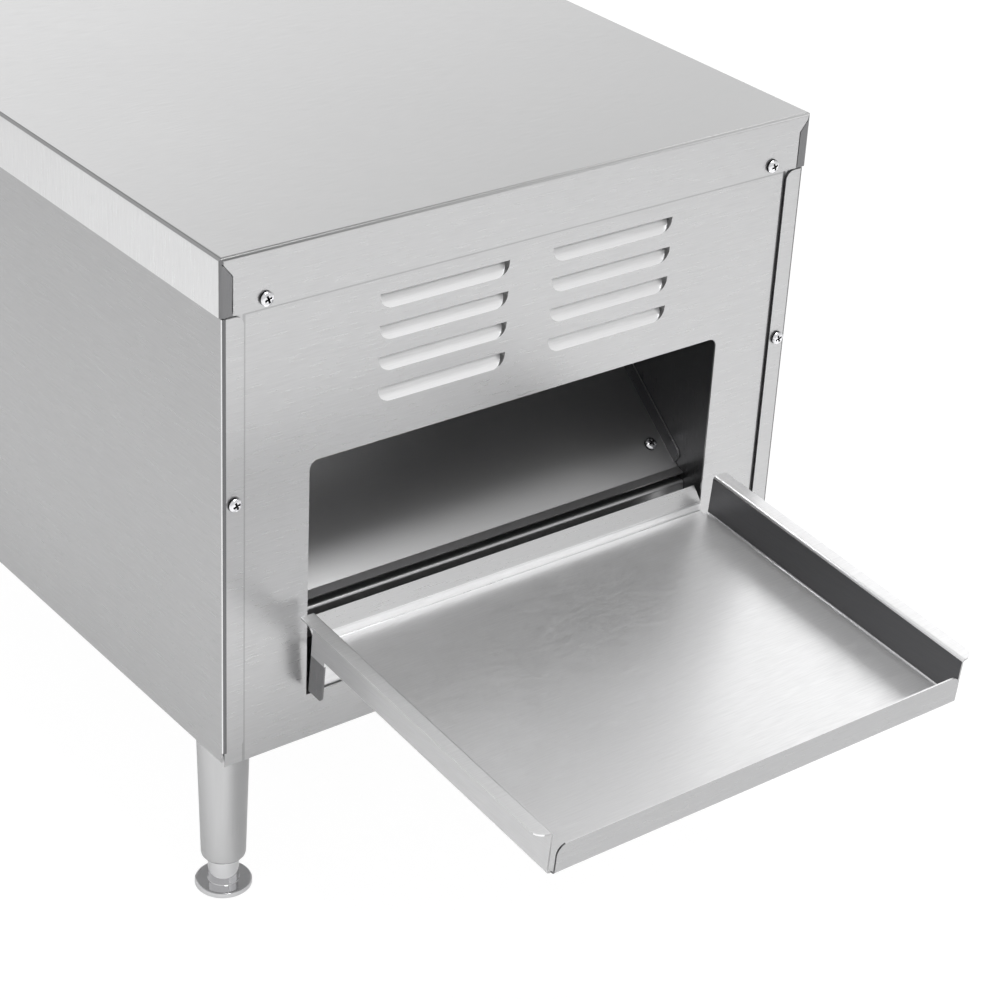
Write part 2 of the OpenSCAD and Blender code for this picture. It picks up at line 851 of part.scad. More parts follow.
module lower_reflector() {
    z = lower_tube_z - tube_d / 2 - 9;
    color(steel) in_body()
        along_x(-between, between)
            folded([
                [tube_y[0] - 20, z + 8],
                [tube_y[0] - 12, z],
                [tube_y[tubes - 1] + 12, z],
                [tube_y[tubes - 1] + 20, z + 8]
            ]);
}

module quartz_tubes(z) {
    end = inner_half + 8;
    color([0.92, 0.92, 0.9]) in_body()
        for (y = tube_y)
            difference() {
                rod_x(-end, end, y, z, tube_d);
                rod_x(-end - 1, end + 1, y, z, tube_d - 2);
            }
}

module upper_quartz_tubes() {
    quartz_tubes(upper_tube_z);
}

module lower_quartz_tubes() {
    quartz_tubes(lower_tube_z);
}

module heating_wires() {
    end = inner_half + 10;
    color([0.45, 0.4, 0.38]) in_body()
        for (y = tube_y, z = [lower_tube_z, upper_tube_z])
            rod_x(-end, end, y, z, 4);
}

module ceramic_end_caps() {
    seat = inner_half + sheet / 2;
    color([0.93, 0.92, 0.88]) in_body() both_sides()
        for (y = tube_y, z = [lower_tube_z, upper_tube_z])
            difference() {
                union() {
                    rod_x(seat, seat + 14, y, z, tube_d + 8);
                    rod_x(seat - sheet - 2, seat + 1, y, z, tube_d + 2.6);
                    rod_x(seat + 13, seat + 20, y, z, 6);
                }
                rod_x(seat - sheet - 3, inner_half + 8 + fit_gap, y, z, tube_d + 0.4);
                rod_x(seat - sheet - 3, inner_half + 10 + fit_gap, y, z, 4.4);
            }
}

// ---- conveyor ----

// Point of the belt's loop at the distance s from the top of the idler, towards the drive shaft
function loop_point(s) =
    let (arc = PI * belt_r)
    s < shaft_gap ? [idler_y + s, shaft_z + belt_r]
    : s < shaft_gap + arc
        ? let (a = 90 - (s - shaft_gap) / belt_r * 180 / PI)
            [drive_y + belt_r * cos(a), shaft_z + belt_r * sin(a)]
    : s < 2 * shaft_gap + arc ? [drive_y - (s - shaft_gap - arc), shaft_z - belt_r]
    : let (a = 270 - (s - 2 * shaft_gap - arc) / belt_r * 180 / PI)
        [idler_y + belt_r * cos(a), shaft_z + belt_r * sin(a)];

function strand_point(i) = loop_point((i % strands) * belt_pitch);

// One strand: a rod across the belt with hooks that reach to the next strand
module strand(i) {
    here = strand_point(i);
    next = strand_point(i + 1);
    along = next - here;
    reach = norm(along) - belt_wire - fit_gap;
    step = belt_w / hooks;
    rod_x(-belt_w / 2, belt_w / 2, here[0], here[1], belt_wire);
    for (k = [0:hooks - 1])
        translate([-belt_w / 2 + (k + 0.3 + 0.4 * (i % 2)) * step, here[0], here[1]])
            rotate([atan2(along[1], along[0]), 0, 0]) rotate([-90, 0, 0])
                cylinder(d = belt_wire * 0.8, h = reach + belt_wire / 2);
}

module conveyor_belt() {
    color(dark_steel) in_body()
        for (i = [0:strands - 1]) strand(i);
}

// Wheels stand midway between the hooks of the strands
wheel_x = [for (k = [0.5, 2, hooks - 2, hooks - 0.5]) (k / hooks - 0.5) * belt_w];

seat_depth = 0.2;

// Wheels under the belt, with a seat for each strand
module belt_wheels(y) {
    tip = belt_r - belt_wire / 2 - fit_gap;
    for (x = wheel_x)
        difference() {
            union() {
                rod_x(x - 3, x + 3, y, shaft_z, 2 * tip);
                rod_x(x - 7, x + 7, y, shaft_z, shaft_d + 8);
            }
            rod_x(x - 10, x + 10, y, shaft_z, shaft_d + 0.04);
            for (k = [0:wheel_teeth - 1])
                let (a = 90 + k * 360 / wheel_teeth, r = belt_r - seat_depth)
                rod_x(x - 4, x + 4, y + r * cos(a), shaft_z + r * sin(a), belt_wire + 2 * fit_gap);
        }
}

module drive_belt_wheels() {
    color(dark_steel) in_body() belt_wheels(drive_y);
}

module idler_belt_wheels() {
    color(dark_steel) in_body() belt_wheels(idler_y);
}

module drive_shaft() {
    color(steel) in_body() {
        rod_x(-sprocket_x - 12, inner_half + 12, drive_y, shaft_z, shaft_d);
        rod_x(inner_half + 5, inner_half + 7, drive_y, shaft_z, shaft_d + 5);
    }
}

module idler_shaft() {
    color(steel) in_body() {
        rod_x(-inner_half - 12, inner_half + 12, idler_y, shaft_z, shaft_d);
        both_sides() rod_x(inner_half + 5, inner_half + 7, idler_y, shaft_z, shaft_d + 5);
    }
}

module shaft_bushes() {
    face = inner_half + sheet / 2;
    color([0.72, 0.55, 0.3]) in_body() both_sides()
        for (y = [idler_y, drive_y])
            difference() {
                union() {
                    rod_x(face - sheet - 3, face + 1, y, shaft_z, bush_d);
                    rod_x(face, face + 2.5, y, shaft_z, bush_d + 6);
                }
                rod_x(face - sheet - 5, face + 5, y, shaft_z, shaft_d + 0.1);
            }
}

// ---- chain drive ----

drive_at = [drive_y, shaft_z];
motor_at = [motor_y, motor_z];
chain_gap = norm(drive_at - motor_at);
function pitch_r(teeth, pitch) = pitch / (2 * sin(180 / teeth));
big_r = pitch_r(drive_teeth, chain_pitch);
small_r = pitch_r(motor_teeth, chain_pitch);
// Angle by which the two straight runs lean in, and their length
lean = asin((big_r - small_r) / chain_gap);
run = chain_gap * cos(lean);
big_arc = PI * big_r * (180 + 2 * lean) / 180;
small_arc = PI * small_r * (180 - 2 * lean) / 180;
chain_loop = 2 * run + big_arc + small_arc;
links = 2 * round(chain_loop / chain_pitch / 2);
// Direction from the motor up to the drive shaft
up_angle = atan2(drive_at[1] - motor_at[1], drive_at[0] - motor_at[0]);

// Point of the chain at the distance s round its loop, clockwise from the left of the drive sprocket
function chain_point(s) =
    let (
        left = up_angle + 90 + lean,
        right = up_angle - 90 - lean
    )
    s < big_arc ? drive_at + big_r * turned([1, 0], left - s / big_r * 180 / PI)
    : s < big_arc + run
        ? let (f = (s - big_arc) / run)
            (drive_at + big_r * turned([1, 0], right)) * (1 - f)
            + (motor_at + small_r * turned([1, 0], right)) * f
    : s < big_arc + run + small_arc
        ? motor_at + small_r * turned([1, 0], right - (s - big_arc - run) / small_r * 180 / PI)
    : let (f = (s - big_arc - run - small_arc) / run)
        (motor_at + small_r * turned([1, 0], left)) * (1 - f)
        + (drive_at + big_r * turned([1, 0], left)) * f;

function pin_point(i) = chain_point((i % links) * chain_loop / links);

module link_plate(a, b, x0, x1, r) {
    along = b - a;
    along_x(x0, x1) {
        translate(a) circle(r = r);
        translate(b) circle(r = r);
        translate(a) rotate(atan2(along[1], along[0]))
            translate([0, -r * 0.8]) square([norm(along), r * 1.6]);
    }
}

roller_d = 5;

module inner_link(i) {
    a = pin_point(i);
    b = pin_point(i + 1);
    for (p = [a, b]) rod_x(-sprocket_x - 2.4, -sprocket_x + 2.4, p[0], p[1], roller_d);
    for (side = [-1, 1])
        link_plate(a, b, -sprocket_x + side * 2.7 - 0.4, -sprocket_x + side * 2.7 + 0.4, 3.4);
}

module outer_link(i) {
    a = pin_point(i);
    b = pin_point(i + 1);
    for (side = [-1, 1]) {
        link_plate(a, b, -sprocket_x + side * 3.7 - 0.4, -sprocket_x + side * 3.7 + 0.4, 3.4);
        for (p = [a, b])
            rod_x(-sprocket_x + side * 4.2 - 0.4, -sprocket_x + side * 4.2 + 0.4, p[0], p[1], 2.6);
    }
}

module drive_chain() {
    color(dark_steel) in_body()
        for (i = [0:2:links - 2]) {
            inner_link(i);
            outer_link(i + 1);
        }
}

// Sprocket whose teeth end just inside the rollers of the chain
module sprocket(at, teeth, r, hub, bore) {
    tip = r - roller_d / 2 - fit_gap;
    difference() {
        union() {
            rod_x(-sprocket_x - 1.9, -sprocket_x + 1.9, at[0], at[1], 2 * tip);
            rod_x(-sprocket_x - 7.5, -sprocket_x + 1.9, at[0], at[1], hub);
        }
        for (k = [0:teeth - 1])
            let (p = at + (r - 1) * turned([1, 0], (k + 0.5) * 360 / teeth))
            rod_x(-sprocket_x - 3, -sprocket_x + 3, p[0], p[1], roller_d);
        if (bore > 0)
            rod_x(-sprocket_x - 10, -sprocket_x + 4, at[0], at[1], bore);
    }
}

module drive_sprocket() {
    color(dark_steel) in_body() sprocket(drive_at, drive_teeth, big_r, shaft_d + 8, shaft_d + 0.04);
}

motor_shaft_d = 8;

module motor_sprocket() {
    color(dark_steel) in_body() {
        sprocket(motor_at, motor_teeth, small_r, motor_shaft_d + 8, 0);
        rod_x(-sprocket_x - 9, -inner_half + 14, motor_at[0], motor_at[1], motor_shaft_d + 0.04);
    }
}

module gear_motor() {
    face = -inner_half + sheet / 2;
    color([0.35, 0.36, 0.38]) in_body() difference() {
        union() {
            along_x(face, face + gearbox_t)
                translate([motor_y - gearbox / 2, motor_z - gearbox / 2])
                    rounded([0, 0], [gearbox, gearbox], [6, 6, 6, 6]);
            rod_x(face + gearbox_t - 1, face + gearbox_t + motor_len, motor_y, motor_z, gearbox - 12);
            rod_x(face + gearbox_t + motor_len - 1, face + gearbox_t + motor_len + 4,
                motor_y, motor_z, gearbox / 3);
            rod_x(face - sheet - 1.5, face + 1, motor_y, motor_z, 15);
        }
        rod_x(face - 6, face + 14, motor_y, motor_z, motor_shaft_d + 0.14);
    }
}

// ---- fan ----

module in_fan() {
    in_body() translate([fan_x, fan_y, sheet]) children();
}

module cooling_fan_frame() {
    h = 25;
    side = fan_side / 2;
    color(black) in_fan() {
        difference() {
            linear_extrude(h) rounded([-side, -side], [side, side], [4, 4, 4, 4]);
            translate([0, 0, -1]) cylinder(d = fan_side - 4, h = h + 2);
            for (x = [-1, 1], y = [-1, 1])
                translate([x * (side - 4.5), y * (side - 4.5), -1]) cylinder(d = 4.3, h = h + 2);
        }
        difference() {
            union() {
                translate([0, 0, h - 3]) cylinder(d = 34, h = 3);
                for (a = [45:90:315])
                    rotate([0, 0, a]) box([15, -2.5, h - 3], [side - 1.5, 2.5, h]);
                translate([0, 0, h - 14]) cylinder(d = 9, h = 12);
            }
            translate([0, 0, h - 15]) cylinder(d = 3.1, h = 11);
        }
    }
}

module fan_impeller() {
    hub_r = 16;
    reach = fan_side / 2 - 3.5;
    color([0.15, 0.15, 0.16]) in_fan() {
        difference() {
            translate([0, 0, 3]) cylinder(r = hub_r, h = 17);
            translate([0, 0, 5]) cylinder(r = hub_r - 1.5, h = 20);
        }
        translate([0, 0, 4]) cylinder(d = 3, h = 15.5);
        for (k = [0:fan_blades - 1])
            rotate([0, 0, k * 360 / fan_blades])
                translate([hub_r - 1, 0, 11]) rotate([38, 0, 0])
                    box([0, -10, -0.7], [reach - hub_r + 0.5, 10, 0.7]);
    }
}

module fan_guard() {
    wire = 1.6;
    ear_r = fan_side / 2 + 3;
    color(steel) in_body() translate([fan_x, fan_y, -wire]) {
        for (r = [12, 20, 28, fan_side / 2 - 5])
            rotate_extrude() translate([r, 0.3]) circle(d = wire);
        for (a = [45, 135])
            rotate([0, 0, a]) rod_x(-ear_r, ear_r, 0, -wire * 0.4, wire * 0.9);
        for (a = [45:90:315])
            rotate([0, 0, a]) translate([ear_r, 0, -wire]) cylinder(d = 7, h = 2 * wire);
    }
}

// ---- controls ----

module at_control(i) {
    in_body() translate([control_x[i], feed_panel_y, control_z]) children();
}

module power_switch_body() {
    color(black) at_control(0) difference() {
        union() {
            box([-10, -26, -13.5], [10, 0.2, 13.5]);
            along_y(0, 1.8) rounded([-12, -16], [12, 16], [1, 1, 1, 1]);
            for (x = [-5, 5], z = [-8, 0, 8])
                box([x - 0.4, -34, z - 2.4], [x + 0.4, -25, z + 2.4]);
        }
        box([-8, -14, -11.5], [8, 5, 11.5]);
    }
}

module power_rocker() {
    r = 11.1;
    color([0.75, 0.08, 0.06]) at_control(0)
        intersection() {
            along_x(-7.7, 7.7)
                polygon([
                    [-7, -10.5],
                    [-8, -3],
                    [-8, 3],
                    [-7, 10.5],
                    [1.2, 10.8],
                    [3.6, 10.4],
                    [1.6, 0],
                    [0.6, -10.4],
                    [-1, -10.8]
                ]);
            rod_x(-10, 10, -3, 0, 2 * r);
        }
}

// Knob with a skirt, a grip and a pointer rib, bored for its spindle
module knob() {
    color(black) difference() {
        union() {
            bore_y(0, 0.8, 3.6, 0, knob_d);
            bore_y(0, 3.4, knob_h, 0, knob_d - 8);
            box([-1.2, 3, 0], [1.2, knob_h + 0.6, knob_d / 2 - 3]);
        }
        for (k = [1:17])
            rotate([0, k * 20, 0]) bore_y(knob_d / 2 - 3.4, 5, knob_h + 1, 0, 2);
        bore_y(0, -1, knob_h - 3, 0, spindle_d + 0.04);
    }
}

module spindle() {
    color(steel) bore_y(0, -12, knob_h - 4, 0, spindle_d);
}

// Housing behind the panel with a bush for the spindle
module control_housing(w, depth) {
    color([0.25, 0.3, 0.35]) difference() {
        union() {
            box([-w / 2, -depth - sheet - 2, -w / 2], [w / 2, -sheet - 2, w / 2]);
            bore_y(0, -sheet - 3, 0.5, 0, spindle_d + 3.6);
            bore_y(0, -sheet - 2.5, -sheet, 0, spindle_d + 9);
            for (z = [-7, 7])
                box([-3, -depth - sheet - 9, z - 0.4], [3, -depth - sheet - 1, z + 0.4]);
        }
        bore_y(0, -14, 2, 0, spindle_d + 0.14);
    }
}

module speed_knob() {
    at_control(1) knob();
}

module speed_spindle() {
    at_control(1) spindle();
}

module speed_control() {
    at_control(1) control_housing(0.75 * switch_w, 0.77 * switch_depth);
}

module top_heat_knob() {
    at_control(2) knob();
}

module top_heat_spindle() {
    at_control(2) spindle();
}

module top_heat_switch() {
    at_control(2) control_housing(switch_w, switch_depth);
}

module bottom_heat_knob() {
    at_control(3) knob();
}

module bottom_heat_spindle() {
    at_control(3) spindle();
}

module bottom_heat_switch() {
    at_control(3) control_housing(switch_w, switch_depth);
}

module pilot_lamps() {
    for (i = [0, 2])
        color([0.9, 0.45, 0.1]) at_control(i) translate([0, 0, lamp_up]) {
            bore_y(0, -lamp_len, 0.5, 0, lamp_d);
            intersection() {
                bore_y(0, 0, 6, 0, 11);
                translate([0, -1.5, 0]) sphere(r = 6.2);
            }
        }
}

terminal_x = 10;
terminal_y = 300;

module terminal_block() {
    color([0.9, 0.9, 0.86]) in_body() translate([terminal_x, terminal_y, sheet]) difference() {
        union() {
            box([-30, -11, 0], [30, 11, 8]);
            box([-30, -6, 7], [30, 6, 20]);
        }
        for (k = [0:4])
            translate([-24 + k * 12, 0, 9]) cylinder(d = 5, h = 12);
        for (k = [0:4])
            bore_y(-24 + k * 12, -7, 7, 12, 4);
    }
}

gland_in = 24.4;
gland_x = gland_in - half_w;
gland_z = 32;
gland_d = 16;
cord_bore_d = 8.4;

// Strain relief bush for the supply cord, in the feed end below the controls
module cord_gland() {
    color(black) in_body() translate([gland_x, feed_panel_y, gland_z]) difference() {
        union() {
            bore_y(0, -14, 0.5, 0, gland_d);
            bore_y(0, 0, 4, 0, gland_d + 8);
            bore_y(0, 3, 16, 0, gland_d - 2);
        }
        bore_y(0, -20, 20, 0, cord_bore_d);
        for (k = [0:2])
            box([-10, 6 + k * 3.4, -1.5 - 12 * (k % 2)], [10, 7 + k * 3.4, 10 - 12 * (k % 2) + 1.5]);
    }
}

// ---- loading rack ----

rack_y = body_d - 8;
rack_low = shaft_z + belt_r + belt_wire / 2 + 3;
rack_end = (rack_reach + body_d - rack_y - frame_wire / 2 * (1 - sin(rack_tilt))) / cos(rack_tilt);
// Start of the upper side wires, clear of the feed end
rack_side_v = 20;
rack_side_h = 14;

module in_rack() {
    in_body() translate([0, rack_y, rack_low]) rotate([rack_tilt, 0, 0]) children();
}

module wire_along(p, q, d) {
    v = q - p;
    translate(p) rotate([0, acos(v[2] / norm(v)), atan2(v[1], v[0])]) cylinder(d = d, h = norm(v));
}

module loading_rack() {
    r = frame_wire / 2;
    end = rack_end;
    color(steel) {
        in_rack() {
            for (x = [-rack_half, rack_half]) {
                wire_along([x, 0, r], [x, end, r], frame_wire);
                wire_along([x, rack_side_v, rack_side_h], [x, end, rack_side_h], bar_wire);
                for (v = [rack_side_v, end / 2, end])
                    wire_along([x, v, r], [x, v, rack_side_h], bar_wire);
                for (v = [rack_side_v, end]) translate([x, v, rack_side_h]) sphere(d = bar_wire);
                for (v = [0, end]) translate([x, v, r]) sphere(d = frame_wire);
            }
            for (v = [0, end / 2, end])
                wire_along([-rack_half, v, r], [rack_half, v, r], frame_wire);
            for (i = [0:bars - 1])
                let (x = -rack_half + (i + 0.5) * 2 * rack_half / bars)
                wire_along([x, 0, r + 2], [x, end, r + 2], bar_wire);
        }
        in_body()
            for (x = [-rack_foot_x, rack_foot_x]) {
                wire_along([x, rack_foot_y, feed_low - 12],
                    [x, rack_foot_y, rack_height(rack_foot_y)], frame_wire);
                translate([x, rack_foot_y, feed_low - 3.2]) cylinder(d = frame_wire + 4, h = 2);
            }
    }
}

rack_foot_y = body_d + 12;
function rack_height(y) = rack_low + (y - rack_y) * tan(rack_tilt) + (frame_wire / 2 + 2) / cos(rack_tilt);

// Shelf on the feed end whose two holes take the feet of the rack
module rack_bracket() {
    top = feed_low - 4;
    color(steel) in_body() difference() {
        along_x(-rack_half + 2, rack_half - 2)
            folded([
                [feed_panel_y + sheet / 2, top - 14],
                [feed_panel_y + sheet / 2, top],
                [rack_foot_y + 7, top]
            ]);
        for (x = [-rack_foot_x, rack_foot_x]) {
            translate([x, rack_foot_y, top - 3]) cylinder(d = frame_wire + 0.8, h = 6);
            bore_y(x, feed_panel_y - 1, feed_panel_y + 4, feed_low - 10, hole_d);
        }
    }
}

// ---- legs ----

leg_wall = 2;
leg_low = -leg_h + foot_show;

module leg_tube() {
    difference() {
        union() {
            translate([0, 0, -1.6]) cylinder(d = leg_top_d + 5, h = 1.6);
            translate([0, 0, leg_low + 3])
                cylinder(d1 = leg_low_d, d2 = leg_top_d, h = -leg_low - 3 - 1);
            translate([0, 0, leg_low]) cylinder(d1 = leg_low_d - 3, d2 = leg_low_d, h = 3);
            cylinder(d = 10, h = 9);
        }
        translate([0, 0, leg_low - 1]) cylinder(d = stem_d + 0.1, h = stem_in + 22);
    }
}

module leg_tubes() {
    color(steel) in_body()
        for (p = leg_spots) translate([p[0], p[1], 0]) leg_tube();
}

module foot(i) {
    color([0.82, 0.83, 0.85]) in_body() translate([leg_spots[i][0], leg_spots[i][1], -leg_h]) {
        cylinder(d = pad_d, h = pad_t - 0.8);
        translate([0, 0, pad_t - 0.8]) cylinder(d1 = pad_d, d2 = pad_d - 1.6, h = 0.8);
        translate([0, 0, pad_t - 0.1]) cylinder(d = stem_d, h = foot_show + stem_in - pad_t);
    }
}

module discharge_left_foot() {
    foot(0);
}

module discharge_right_foot() {
    foot(1);
}

module feed_left_foot() {
    foot(2);
}

module feed_right_foot() {
    foot(3);
}

top_cover();
left_side_panel();
right_side_panel();
discharge_end_panel();
feed_end_panel();
base_pan();
left_inner_plate();
right_inner_plate();
bulkhead();
toast_slide();
slide_ledges();
slide_rail();
discharge_tray();
crumb_tray();
crumb_tray_runners();
top_reflector();
top_insulation();
lower_reflector();
upper_quartz_tubes();
lower_quartz_tubes();
heating_wires();
ceramic_end_caps();
conveyor_belt();
drive_shaft();
drive_belt_wheels();
idler_shaft();
idler_belt_wheels();
shaft_bushes();
drive_sprocket();
gear_motor();
motor_sprocket();
drive_chain();
cooling_fan_frame();
fan_impeller();
fan_guard();
power_switch_body();
power_rocker();
speed_knob();
speed_spindle();
speed_control();
top_heat_knob();
top_heat_spindle();
top_heat_switch();
bottom_heat_knob();
bottom_heat_spindle();
bottom_heat_switch();
pilot_lamps();
terminal_block();
cord_gland();
loading_rack();
rack_bracket();
leg_tubes();
discharge_left_foot();
discharge_right_foot();
feed_left_foot();
feed_right_foot();
cover_screws();
slide_screws();
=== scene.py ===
"""Looks of a conveyor toaster in brushed stainless sheet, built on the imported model."""

import json
import logging
import math
from contextlib import contextmanager
from dataclasses import dataclass
from enum import Enum
from functools import cache
from typing import Callable, Iterator, Sequence

import bpy
from mathutils import Matrix, Vector


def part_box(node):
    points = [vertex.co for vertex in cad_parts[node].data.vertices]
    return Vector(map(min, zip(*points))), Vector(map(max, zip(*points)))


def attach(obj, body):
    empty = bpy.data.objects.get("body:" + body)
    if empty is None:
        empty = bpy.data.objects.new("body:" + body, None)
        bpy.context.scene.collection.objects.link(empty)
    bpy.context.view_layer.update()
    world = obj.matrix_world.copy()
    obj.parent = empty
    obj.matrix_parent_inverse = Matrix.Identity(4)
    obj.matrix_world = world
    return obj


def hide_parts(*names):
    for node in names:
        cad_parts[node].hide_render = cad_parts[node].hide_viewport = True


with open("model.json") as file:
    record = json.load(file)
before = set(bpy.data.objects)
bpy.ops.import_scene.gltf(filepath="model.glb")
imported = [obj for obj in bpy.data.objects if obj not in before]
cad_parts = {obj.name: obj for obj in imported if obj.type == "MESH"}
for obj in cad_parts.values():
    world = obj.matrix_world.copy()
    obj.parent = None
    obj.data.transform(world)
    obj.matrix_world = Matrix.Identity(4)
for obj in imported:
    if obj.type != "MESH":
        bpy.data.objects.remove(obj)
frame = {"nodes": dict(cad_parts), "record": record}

LOG = logging.getLogger("toaster")
Piece = bpy.types.Object
Node = bpy.types.Node
Material = bpy.types.Material
# Node, key of its finish, and width of its eased edges in metres
Rows = tuple[tuple[str, str, float], ...]
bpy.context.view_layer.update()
MM = 0.001
# A face whose normal has a larger share than this along an axis lies square to it
SQUARE = 0.96
# Most of a noise's values lie between these two
NOISE_RANGE = (0.3, 0.7)
# Share of metal in the brushed sheet
METALLIC = 0.95
# Points nearer than this are one, in metres
WELD = 0.000002
# Faces that meet at less than this many degrees are one
FLAT = 0.4

BODY_OF = {
    node: body
    for body, nodes in frame["record"]["behaviour"]["bodies"].items()
    for node in nodes
}


# ---- finishes


class Grain(Enum):
    """Axis along which a sheet was brushed."""

    X = 0
    Y = 1
    Z = 2


class Graph:
    """Node tree of a material or a world, with short calls to fill it."""

    def __init__(self, owner: bpy.types.ID, shader: str = "BsdfPrincipled",
                 output: str = "OutputMaterial") -> None:
        """Starts the tree with its shader and output.

        Args:
            owner: Material or world that has the tree.
            shader: Kind of the shader.
            output: Kind of the output.
        """
        owner.use_nodes = True
        self.tree = owner.node_tree
        self.tree.nodes.clear()
        self.output = self.add(output)
        self.shader = self.add(shader)
        self.link(self.shader, 0, self.output, 0)

    def add(self, kind: str, **settings: object) -> Node:
        """Adds a node.

        Args:
            kind: Blender's name of the node type, without ShaderNode.
            **settings: Properties of the node.

        Returns:
            The new node.
        """
        node = self.tree.nodes.new("ShaderNode" + kind)
        for key, value in settings.items():
            setattr(node, key, value)
        return node

    def link(self, source: Node, out: str | int, target: Node,
             into: str | int) -> None:
        """Links an output of one node to an input of another.

        Args:
            source: Node that gives the value.
            out: Name or number of its output.
            target: Node that takes it.
            into: Name or number of the input.
        """
        self.tree.links.new(source.outputs[out], target.inputs[into])

    def math(self, operation: str, *terms: float | tuple[Node, str | int]) -> Node:
        """Adds a math node.

        Args:
            operation: Blender's name of the operation.
            *terms: A number, or a node and its output, for each input.

        Returns:
            The math node.
        """
        node = self.add("Math", operation=operation)
        for index, term in enumerate(terms):
            if isinstance(term, tuple):
                self.link(*term, node, index)
            else:
                node.inputs[index].default_value = term
        return node

    def set(self, **values: object) -> None:
        """Sets sockets of the shader.

        Args:
            **values: Socket names, with underscores for spaces, and their values.
        """
        for key, value in values.items():
            self.shader.inputs[key.replace("_", " ")].default_value = value

    def object_noise(self, scale: Sequence[float], detail: float = 2.0) -> Node:
        """Adds noise that is fixed to the object.

        Args:
            scale: Repeats per metre along X, Y and Z.
            detail: Octaves of the noise.

        Returns:
            The noise node.
        """
        place = self.add("TexCoord")
        stretch = self.add("Mapping")
        stretch.inputs["Scale"].default_value = scale
        noise = self.add("TexNoise")
        noise.inputs["Scale"].default_value = 1.0
        noise.inputs["Detail"].default_value = detail
        noise.inputs["Roughness"].default_value = 0.6
        self.link(place, "Object", stretch, "Vector")
        self.link(stretch, "Vector", noise, "Vector")
        return noise

    def spread(self, source: Node, low: float = 0.0, high: float = 1.0,
               start: tuple[float, float] = NOISE_RANGE, out: str | int = 0) -> Node:
        """Maps a range of values to another.

        Args:
            source: Node that gives the value.
            low: What the start's low end becomes.
            high: What its high end becomes.
            start: Range that is mapped.
            out: Output of the source.

        Returns:
            The node whose first output is the result.
        """
        node = self.add("MapRange")
        for name, value in zip(("From Min", "From Max", "To Min", "To Max"),
                               (*start, low, high)):
            node.inputs[name].default_value = value
        self.link(source, out, node, "Value")
        return node

    def tint(self, factor: Node, dark: Sequence[float], light: Sequence[float]) -> None:
        """Colours the shader between two tones.

        Args:
            factor: Node that gives the share of the light tone.
            dark: Dark tone.
            light: Light tone.
        """
        mix = self.add("Mix", data_type="RGBA")
        mix.inputs[6].default_value = (*dark, 1.0)
        mix.inputs[7].default_value = (*light, 1.0)
        self.link(factor, 0, mix, 0)
        self.link(mix, 2, self.shader, "Base Color")

    def mottled(self, scale: Sequence[float], detail: float, color: Sequence[float],
                dark: float) -> Node:
        """Colours the shader with a noise between a darker and the full colour.

        Args:
            scale: Repeats per metre along X, Y and Z.
            detail: Octaves of the noise.
            color: The full colour.
            dark: Share of the colour that the dark end keeps.

        Returns:
            The noise node.
        """
        noise = self.object_noise(scale, detail)
        self.tint(self.spread(noise), tuple(c * dark for c in color), color)
        return noise

    def roughen(self, noise: Node, low: float, high: float) -> None:
        """Lets a noise run the shader's roughness.

        Args:
            noise: Noise node.
            low: Roughness at the noise's dark end.
            high: Roughness at its bright end.
        """
        self.link(self.spread(noise, low, high), 0, self.shader, "Roughness")

    def bump(self, noise: Node, strength: float, depth: float) -> None:
        """Presses a noise into the surface.

        Args:
            noise: Noise node that gives the height.
            strength: Strength of the relief.
            depth: Height of the relief in metres.
        """
        node = self.add("Bump")
        node.inputs["Strength"].default_value = strength
        node.inputs["Distance"].default_value = depth
        self.link(noise, 0, node, "Height")
        self.link(node, "Normal", self.shader, "Normal")


@dataclass(frozen=True)
class Brushed:
    """Stainless sheet with fine marks along one axis, lengths in metres."""

    tone: float
    grain: Grain
    roughness: float = 0.3
    contrast: float = 0.045
    mark_length: float = 0.014
    mark_width: float = 0.0006
    mark_share: float = 0.75
    clouds_per_metre: float = 7.0
    roughness_sway: float = 2.6
    metallic: float = METALLIC
    blue: float = 0.004
    relief: float = 0.00004
    relief_strength: float = 0.05

    def fill(self, graph: Graph) -> None:
        """Fills the graph of a material."""
        scale = [1 / self.mark_width] * 3
        scale[self.grain.value] = 1 / self.mark_length
        marks = graph.object_noise(scale, 3.0)
        clouds = graph.object_noise([self.clouds_per_metre] * 3, 2.0)
        rest = graph.math("MULTIPLY", (clouds, "Fac"), 1 - self.mark_share)
        blend = graph.math("MULTIPLY_ADD", (marks, "Fac"), self.mark_share, (rest, 0))
        tones = [self.tone * (1 - self.contrast), self.tone * (1 + self.contrast)]
        graph.tint(graph.spread(blend), *((tone, tone, tone + self.blue) for tone in tones))
        sway = self.roughness_sway * self.contrast
        graph.roughen(marks, self.roughness * (1 + sway), self.roughness * (1 - sway))
        if self.relief > 0:
            graph.bump(marks, self.relief_strength, self.relief)
        graph.set(Metallic=self.metallic)


@dataclass(frozen=True)
class PaintedFoldShading:
    """Bend of a sheet with painted shade and highlight: its tone runs evenly along X from dark
    to light, up to the reach on both sides.
    """

    left: float
    right: float
    reach: float
    roughness: float = 0.3

    def fill(self, graph: Graph) -> None:
        """Fills the graph of a material."""
        place = graph.add("TexCoord")
        split = graph.add("SeparateXYZ")
        graph.link(place, "Object", split, "Vector")
        share = graph.spread(split, start=(-self.reach, self.reach), out="X")
        graph.tint(share, (self.left,) * 3, (self.right,) * 3)
        graph.set(Metallic=METALLIC, Roughness=self.roughness)


@dataclass(frozen=True)
class Polished:
    """Plated or ground metal with a faint haze."""

    color: tuple[float, float, float]
    roughness: float = 0.1

    def fill(self, graph: Graph) -> None:
        """Fills the graph of a material."""
        haze = graph.mottled((160.0, 160.0, 160.0), 3.0, self.color, 0.96)
        graph.roughen(haze, self.roughness * 0.8, self.roughness * 1.25)
        graph.set(Metallic=1.0)


